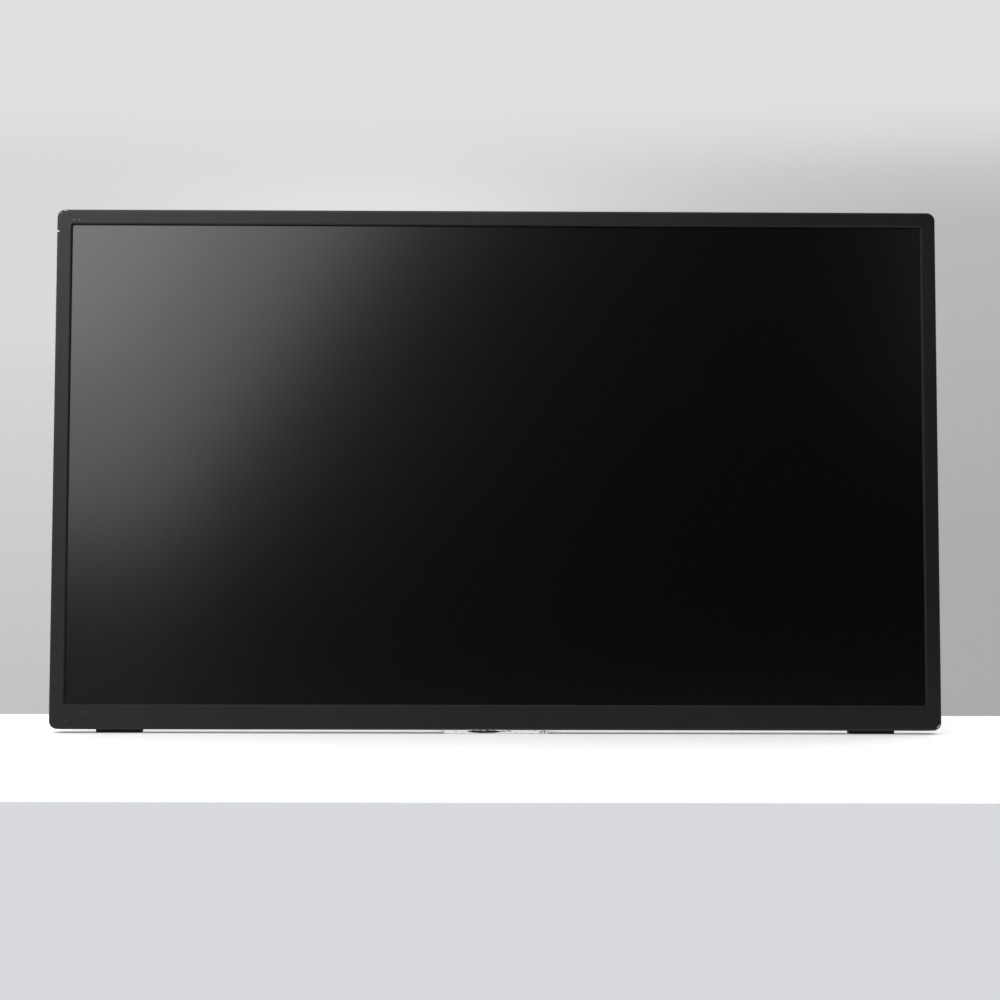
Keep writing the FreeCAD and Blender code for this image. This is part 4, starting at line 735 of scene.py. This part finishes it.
def buildPiece(name, tree, look, finish, place, body):
    sizes = dict(look, Material=finishes[finish])
    holder = bpy.data.objects.new(name + "Maker", bpy.data.meshes.new(name + "Seed"))
    scene.collection.objects.link(holder)
    modifier = holder.modifiers.new("shape", "NODES")
    modifier.node_group = tree
    for item in tree.interface.items_tree:
        if item.in_out == "INPUT":
            modifier[item.identifier] = sizes[item.name]
    depsgraph = bpy.context.evaluated_depsgraph_get()
    mesh = bpy.data.meshes.new_from_object(holder.evaluated_get(depsgraph), depsgraph=depsgraph)
    mesh.name = name
    bpy.data.objects.remove(holder)
    mesh.transform(place)
    return addPiece(name, mesh, body)


def opposite(tree, value):
    return times(tree, value, -1.0)


def half(tree, value):
    return times(tree, value, 0.5)


# Contact strips on a socket's tongue: one row on each face
def contactTree():
    tree, given = shapeTree("contact strips", "Count Pitch Length Width Proud Tongue")
    corner = times(tree, given["Width"], 0.3)
    strip = roundedPlate(tree, given["Length"], given["Width"], given["Proud"], corner)
    span = times(tree, less(tree, given["Count"], 1.0), given["Pitch"])
    start = along(tree, Y=opposite(tree, half(tree, span)), Z=half(tree, given["Tongue"]))
    row = rowOf(tree, strip, given["Count"], start, along(tree, Y=given["Pitch"]))
    under = placed(tree, row, turn=(math.pi, 0, 0))
    return endTree(tree, given, row, under)


# The tongue's flat lies in (x, z), so the strips' own Z is turned to the display's Y
tongueTurn = Matrix.Rotation(math.radians(-90), 4, "X")
contacts = {
    "usb": {"Count": 12, "Pitch": 0.0005, "Length": 0.0038, "Width": 0.00026, "Proud": 0.00006, "Tongue": 0.0007},
    "hdmi": {"Count": 10, "Pitch": 0.0007, "Length": 0.0040, "Width": 0.00032, "Proud": 0.00006, "Tongue": 0.0009},
}
tongues = {
    "usbContactsUpper": ("usb", Vector((-0.17448, 0.00858, 0.088))),
    "usbContactsLower": ("usb", Vector((-0.17448, 0.00858, 0.074))),
    "hdmiContacts": ("hdmi", Vector((-0.17430, 0.0086, 0.060))),
}
strips = contactTree()
for pieceName, (kind, centre) in tongues.items():
    place = leaning @ Matrix.Translation(centre) @ tongueTurn
    buildPiece(pieceName, strips, contacts[kind], "gold", place, "display")


# Woven wire behind the sound slots and the vents
meshLook = {"Pitch": 0.0011, "Wire": 0.00012}


def wovenTree():
    tree, given = shapeTree("woven wire", "Length Height Pitch Wire")
    pitch = given["Pitch"]
    profile = circle(tree, 5, given["Wire"])
    sets = []
    for reach, spread, turn, phase in (("Length", "Height", 0.0, 0.0), ("Height", "Length", math.pi / 2, math.pi)):
        crossings = maths(tree, "ROUND", maths(tree, "DIVIDE", given[reach], pitch))
        halfReach = half(tree, times(tree, crossings, pitch))
        values = {"Start": along(tree, X=opposite(tree, halfReach)), "End": along(tree, X=halfReach)}
        line = solid(tree, "GeometryNodeCurvePrimitiveLine", values)
        values = {"Curve": line, "Count": plus(tree, times(tree, crossings, 2.0), 1.0)}
        line = solid(tree, "GeometryNodeResampleCurve", values)
        x = split(tree, solid(tree, "GeometryNodeInputPosition"))["X"]
        angle = times(tree, maths(tree, "DIVIDE", plus(tree, x, halfReach), pitch), math.pi)
        wave = times(tree, maths(tree, "SINE", plus(tree, angle, phase)), given["Wire"])
        values = {"Geometry": line, "Offset": along(tree, Z=wave)}
        line = solid(tree, "GeometryNodeSetPosition", values)
        rows = maths(tree, "ROUND", maths(tree, "DIVIDE", given[spread], pitch))
        start = along(tree, Y=opposite(tree, half(tree, times(tree, less(tree, rows, 1.0), pitch))))
        index = solid(tree, "GeometryNodeInputIndex")
        flip = along(tree, X=times(tree, maths(tree, "MODULO", index, 2.0), math.pi))
        wires = rowOf(tree, swept(tree, line, profile), rows, start, along(tree, Y=pitch), flip)
        sets.append(placed(tree, wires, turn=(0, 0, turn)))
    return endTree(tree, given, *sets)


wireMesh = wovenTree()
screens = {
    "soundMeshLeft": (-0.13018, 0.0254, 0.0462, 0.0132),
    "soundMeshRight": (0.13018, 0.0254, 0.0462, 0.0132),
    "ventMeshLeft": (-0.122, 0.093, 0.0506, 0.0121),
    "ventMeshRight": (0.122, 0.093, 0.0506, 0.0121),
}
meshDepth = 0.01094  # just inside the cover's back wall
backTurn = Matrix.Rotation(math.radians(90), 4, "X")
for pieceName, (x, z, length, height) in screens.items():
    look = dict(meshLook, Length=length, Height=height)
    place = leaning @ Matrix.Translation((x, meshDepth, z)) @ backTurn
    buildPiece(pieceName, wireMesh, look, "meshWire", place, "display")


# Ribbed rubber pads under the folding foot, in the place of the plain ones
padLook = {
    "Length": 0.024, "Width": 0.012, "Thick": 0.001, "Corner": 0.002,
    "Groove": 0.00022, "Rib": 0.0009, "Pitch": 0.00165, "Margin": 0.0012,
}
padPlaces = [(-0.056, 0.043), (0.056, 0.043), (-0.056, 0.075), (0.056, 0.075), (0.0, 0.0134)]
padTop = -0.0030  # the pads' sunk face in the foot's frame


def padTree():
    tree, given = shapeTree("ribbed pad", "Length Width Thick Corner Groove Rib Pitch Margin")
    body = less(tree, given["Thick"], given["Groove"])
    base = roundedPlate(tree, given["Length"], given["Width"], body, given["Corner"])
    margins = times(tree, given["Margin"], 2.0)
    room = less(tree, given["Length"], margins)
    ribLength = less(tree, given["Width"], margins)
    rib = roundedPlate(tree, given["Rib"], ribLength, given["Groove"], times(tree, given["Rib"], 0.45))
    gaps = maths(tree, "FLOOR", maths(tree, "DIVIDE", less(tree, room, given["Rib"]), given["Pitch"]))
    count = plus(tree, gaps, 1.0)
    first = opposite(tree, half(tree, times(tree, less(tree, count, 1.0), given["Pitch"])))
    ribs = rowOf(tree, rib, count, along(tree, X=first, Z=body), along(tree, X=given["Pitch"]))
    return endTree(tree, given, base, ribs)


ribbed = padTree()
padNames = ["footPadNearLeft", "footPadNearRight", "footPadFarLeft", "footPadFarRight", "footPadNeck"]
for pieceName, (x, y) in zip(padNames, padPlaces):
    place = Matrix.Translation(stance["place"] + Vector((x, y, padTop))) @ Matrix.Rotation(math.pi, 4, "X")
    pad = buildPiece(pieceName, ribbed, padLook, "rubber", place, "foot")
    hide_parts("foot_pads")


# Raised marks on the keys: bars that a fingertip can tell apart
markLook = {"Bar": 0.0016, "Wide": 0.00028, "Proud": 0.00007}
keyMarks = {
    "upKeyMark": ("up_button", 0.059, (0.0, math.pi / 2)),
    "downKeyMark": ("down_button", 0.045, (0.0,)),
    "menuKeyMark": ("menu_button", 0.073, (math.pi / 4, -math.pi / 4)),
}


def keyBar(tree, given, proud):
    return roundedPlate(tree, given["Bar"], given["Wide"], proud, times(tree, given["Wide"], 0.45))


def markTree(turns):
    tree, given = shapeTree("key mark", "Bar Wide Proud")
    bars = []
    for turn in turns:
        proud = times(tree, given["Proud"], 1.0 - 0.15 * len(bars))  # one bar crosses over the other
        bars.append(placed(tree, keyBar(tree, given, proud), turn=(0, 0, turn)))
    return endTree(tree, given, *bars)


keySpot = {"x": 0.17917, "y": 0.0075}  # just inside the keys' outer faces
sideTurn = Matrix.Rotation(math.radians(90), 4, "Y")


def keyPlace(z):
    return leaning @ Matrix.Translation((keySpot["x"], keySpot["y"], z)) @ sideTurn


for pieceName, (body, z, turns) in keyMarks.items():
    buildPiece(pieceName, markTree(turns), markLook, "keyMark", keyPlace(z), body)


# The power key's mark: an open ring with a bar in its gap
powerLook = {"Radius": 0.00085, "Wide": 0.00026, "Proud": 0.00006, "Gap": 0.62, "Bar": 0.0010}


def powerTree():
    tree, given = shapeTree("power mark", "Radius Wide Proud Gap Bar")
    sweep = less(tree, 2 * math.pi, times(tree, given["Gap"], 2.0))
    start = plus(tree, given["Gap"], math.pi)
    values = {"Resolution": 40, "Radius": given["Radius"], "Start Angle": start, "Sweep Angle": sweep}
    arc = solid(tree, "GeometryNodeCurveArc", values, mode="RADIUS")
    ring = swept(tree, arc, rectangle(tree, given["Wide"], times(tree, given["Proud"], 2.0)))
    middle = along(tree, X=opposite(tree, times(tree, given["Radius"], 0.75)))
    return endTree(tree, given, ring, placed(tree, keyBar(tree, given, given["Proud"]), where=middle))


buildPiece("powerKeyMark", powerTree(), powerLook, "keyMark", keyPlace(0.091), "power_button")


# The polished lip of the hinge, rolled under at its lower edge and a little wavy, as pressed metal is
lipLook = {
    "half": 0.0207, "low": -0.00136, "top": -0.00002, "front": 0.00036, "bow": 0.0006, "back": 0.0016,
    "slope": 0.0001, "roll": 0.00015, "rollTop": 0.55, "dent": 0.00010, "dentAt": -0.0044, "dentHalf": 0.0108,
    "dentMiddle": 0.36, "columns": 120, "rows": 16,
}


def lipFront(x, height):
    look = lipLook
    bow = look["bow"] * (x / look["half"]) ** 2
    span = (x - look["dentAt"]) / look["dentHalf"]
    pressed = math.exp(-2.2 * span * span)
    roll = look["roll"] * (1.0 - 0.95 * pressed) * max(0.0, (look["rollTop"] - height) / look["rollTop"]) ** 2
    under = look["slope"] * (1.0 - height) + roll
    dent = look["dent"] * pressed * math.tanh((height - look["dentMiddle"]) * 3.2)
    flutter = 0.000006 * math.sin(x * 900.0) * math.sin(height * 5.0)
    flutter += 0.000003 * math.sin(x * 2300.0 + height * 9.0)
    return look["front"] + bow + under + dent + flutter


def makeLip():
    look = lipLook
    columns, rows = look["columns"], look["rows"]
    points, faces = [], []
    for i in range(columns + 1):
        x = look["half"] * (2 * i / columns - 1)
        for j in range(rows + 1):
            height = j / rows
            z = look["low"] + (look["top"] - look["low"]) * height
            points += [(x, lipFront(x, height), z), (x, look["back"], z)]
    index = lambda i, j, side: 2 * (i * (rows + 1) + j) + side
    for i in range(columns):
        for j in range(rows):
            faces.append((index(i, j, 0), index(i + 1, j, 0), index(i + 1, j + 1, 0), index(i, j + 1, 0)))
            faces.append((index(i, j, 1), index(i, j + 1, 1), index(i + 1, j + 1, 1), index(i + 1, j, 1)))
        for j in (0, rows):
            strip = (index(i, j, 0), index(i, j, 1), index(i + 1, j, 1), index(i + 1, j, 0))
            faces.append(strip if j == 0 else strip[::-1])
    for j in range(rows):
        for i in (0, columns):
            strip = (index(i, j, 0), index(i, j + 1, 0), index(i, j + 1, 1), index(i, j, 1))
            faces.append(strip if i == 0 else strip[::-1])
    mesh = bpy.data.meshes.new("hingeLip")
    mesh.from_pydata(points, [], faces)
    mesh.materials.append(finishes["polished"])
    mesh.shade_smooth()
    mesh.set_sharp_from_angle(angle=math.radians(40))
    mesh.transform(leaning)
    addPiece("hingeLip", mesh, "display")


makeLip()


# A bright ring round the mouth of the headphone jack
ringLook = {"Radius": 0.00235, "Tube": 0.00022}


def ringTree():
    tree, given = shapeTree("jack ring", "Radius Tube")
    ring = swept(tree, circle(tree, 48, given["Radius"]), circle(tree, 10, given["Tube"]), False)
    return endTree(tree, given, ring)


jackPlace = leaning @ Matrix.Translation((-0.17838, 0.008, 0.0465)) @ sideTurn
buildPiece("jackRing", ringTree(), ringLook, "socket", jackPlace, "display")
print("pieces made")


# Table, backdrop and light
tableLook = {
    "left": -0.9, "right": 0.9, "front": -0.331, "back": 0.068, "thick": 0.30,
    "colour": grey(0.55), "seen": grey(0.80), "edge": (0.686, 0.701, 0.730, 1.0), "lift": 0.20,
}


def shownToCamera(tree):
    path = addNode(tree, "ShaderNodeLightPath").outputs
    mirrored = maths(tree, "MAXIMUM", path["Is Glossy Ray"], path["Is Transmission Ray"])
    return maths(tree, "MAXIMUM", path["Is Camera Ray"], mirrored), mirrored


def paleMaterial(name, colour, seen, glow, share):
    material, tree, surface = newMaterial(name)
    speckle = noise(tree, objectPosition(tree), 300.0, 3.0, 0.6)
    shown = shownToCamera(tree)[0]
    paint = scaled(tree, mixColours(tree, shown, colour, seen), ramp(tree, speckle, 0.3, 0.7, 0.985, 1.015))
    fill(tree, surface.inputs["Base Color"], paint)
    surface.inputs["Roughness"].default_value = 0.6
    surface.inputs["Specular IOR Level"].default_value = 0.2
    light = addNode(tree, "ShaderNodeEmission", {"Color": glow, "Strength": 1.0}).outputs[0]
    values = {0: times(tree, shown, share), 1: surface.outputs[0], 2: light}
    blend = addNode(tree, "ShaderNodeMixShader", values).outputs[0]
    ending = [node for node in tree.nodes if node.bl_idname == "ShaderNodeOutputMaterial"][0]
    tree.links.new(blend, ending.inputs[0])
    return material


def makeTable():
    look = tableLook
    left, right, front, back = (look[side] for side in ("left", "right", "front", "back"))
    outline = ((left, front), (right, front), (right, back), (left, back))
    corners = [(x, y, z) for z in (0.0, -look["thick"]) for x, y in outline]
    faces = [(0, 1, 2, 3), (7, 6, 5, 4), (0, 4, 5, 1), (1, 5, 6, 2), (2, 6, 7, 3), (3, 7, 4, 0)]
    mesh = bpy.data.meshes.new("table")
    mesh.from_pydata(corners, [], faces)
    mesh.materials.append(paleMaterial("tableTop", look["colour"], look["seen"], grey(1.0), look["lift"]))
    mesh.materials.append(paleMaterial("tableEdge", look["edge"], look["edge"], look["edge"], 1.0))
    for face in mesh.polygons:
        face.material_index = 0 if face.index == 0 else 1
    table = bpy.data.objects.new("table", mesh)
    scene.collection.objects.link(table)


makeTable()

# The wall's brightness against the sine of the height it is seen at, on the left and on the right
worldLook = {
    "left": [
        (-0.06, 0.545), (0.0, 0.604), (0.06, 0.665), (0.075, 0.70), (0.135, 0.694), (0.158, 0.745), (0.45, 0.745),
        (0.8, 0.22)],
    "right": [
        (-0.06, 0.407), (0.0, 0.413), (0.089, 0.473), (0.118, 0.491), (0.133, 0.558), (0.148, 0.686), (0.16, 0.745),
        (0.45, 0.745), (0.8, 0.22)],
    "spread": (-0.05, 0.19),
    "halo": 0.09,
    "haloPlace": (-0.03, 0.11),
    "haloReach": (0.13, 0.045),
    "darkSide": (-0.2, -0.6),
    "dim": grey(0.30),
    "flag": grey(0.012),
}


def wallProfile(tree, height, points):
    low, high = points[0][0], points[-1][0]
    node = addNode(tree, "ShaderNodeValToRGB", {"Fac": ramp(tree, height, low, high)})
    steps = node.color_ramp.elements
    while len(steps) < len(points):
        steps.new(1.0)
    for step, (place, level) in zip(steps, points):
        step.position, step.color = (place - low) / (high - low), grey(level)
    return node.outputs["Color"]


def makeWorld():
    look = worldLook
    world = bpy.data.worlds.new("studio")
    world.use_nodes = True
    tree = world.node_tree
    tree.nodes.clear()
    direction = addNode(tree, "ShaderNodeTexCoord").outputs["Generated"]
    parts = split(tree, direction)
    sides = [wallProfile(tree, parts["Z"], look[side]) for side in ("left", "right")]
    wall = mixColours(tree, ramp(tree, parts["X"], *look["spread"], smooth=True), *sides)
    fades = []
    for part, middle, reach in zip((parts["X"], parts["Z"]), look["haloPlace"], look["haloReach"]):
        away = maths(tree, "ABSOLUTE", less(tree, part, middle))
        fades.append(ramp(tree, away, 0.0, reach, 1.0, 0.0, smooth=True))
    halo = times(tree, times(tree, *fades), look["halo"])
    wall = mixColours(tree, 1.0, wall, halo, "ADD")
    towards = ramp(tree, parts["Y"], *look["darkSide"], smooth=True)  # the studio in front of the screen
    shown, mirrored = shownToCamera(tree)
    seen = mixColours(tree, times(tree, towards, mirrored), wall, look["flag"])
    colour = mixColours(tree, shown, look["dim"], seen)
    background = addNode(tree, "ShaderNodeBackground", {"Color": colour, "Strength": 1.0})
    tree.links.new(background.outputs[0], tree.nodes.new("ShaderNodeOutputWorld").inputs[0])
    scene.world = world


makeWorld()

lamps = {
    "key": {"place": (-0.456, -0.396, 0.685), "aim": (0.0, -0.038, 0.104), "size": (1.586, 1.185), "glow": 1.95},
    "keyHeart": {"place": (-0.354, -0.519, 0.689), "aim": (0.208, -0.0774, -0.011), "size": (0.92, 0.87), "glow": 1.42},
    "keyFoot": {"place": (-0.40, -1.0, 0.12), "aim": (-0.13, -0.04, 0.05), "size": (0.36, 0.22), "glow": 0.11},
    "rearLeft": {"place": (-0.8, 1.25, 0.8), "aim": (0.0, 0.0, 0.1), "size": (1.1, 1.1), "glow": 3.0},
    "rearRight": {"place": (0.9, 1.15, 0.7), "aim": (0.0, 0.0, 0.1), "size": (1.1, 1.1), "glow": 2.6},
    "overhead": {"place": (0.6, 0.30, 1.2), "aim": (0.25, -0.08, 0.0), "size": (1.0, 0.6), "glow": 4.4},
    "side": {"place": (0.575, -1.35, 0.60), "aim": (0.0, -0.04, 0.12), "size": (0.30, 0.34), "glow": 0.38},
}


def makeLamp(name, look):
    place, aim = Vector(look["place"]), Vector(look["aim"])
    onward = (aim - place).normalized()
    right = onward.cross(Vector((0, 0, 1))).normalized()
    up = right.cross(onward)
    data = bpy.data.lights.new(name, "AREA")
    data.shape = "RECTANGLE"
    data.size, data.size_y = look["size"]
    data.energy = look["glow"] * math.pi * data.size * data.size_y  # glow is the lamp's own brightness
    lamp = bpy.data.objects.new(name, data)
    lamp.matrix_world = Matrix.Translation(place) @ Matrix((right, up, -onward)).transposed().to_4x4()
    scene.collection.objects.link(lamp)


for lampName, look in lamps.items():
    makeLamp(lampName, look)

scene.view_settings.view_transform = "Standard"
print("studio made")
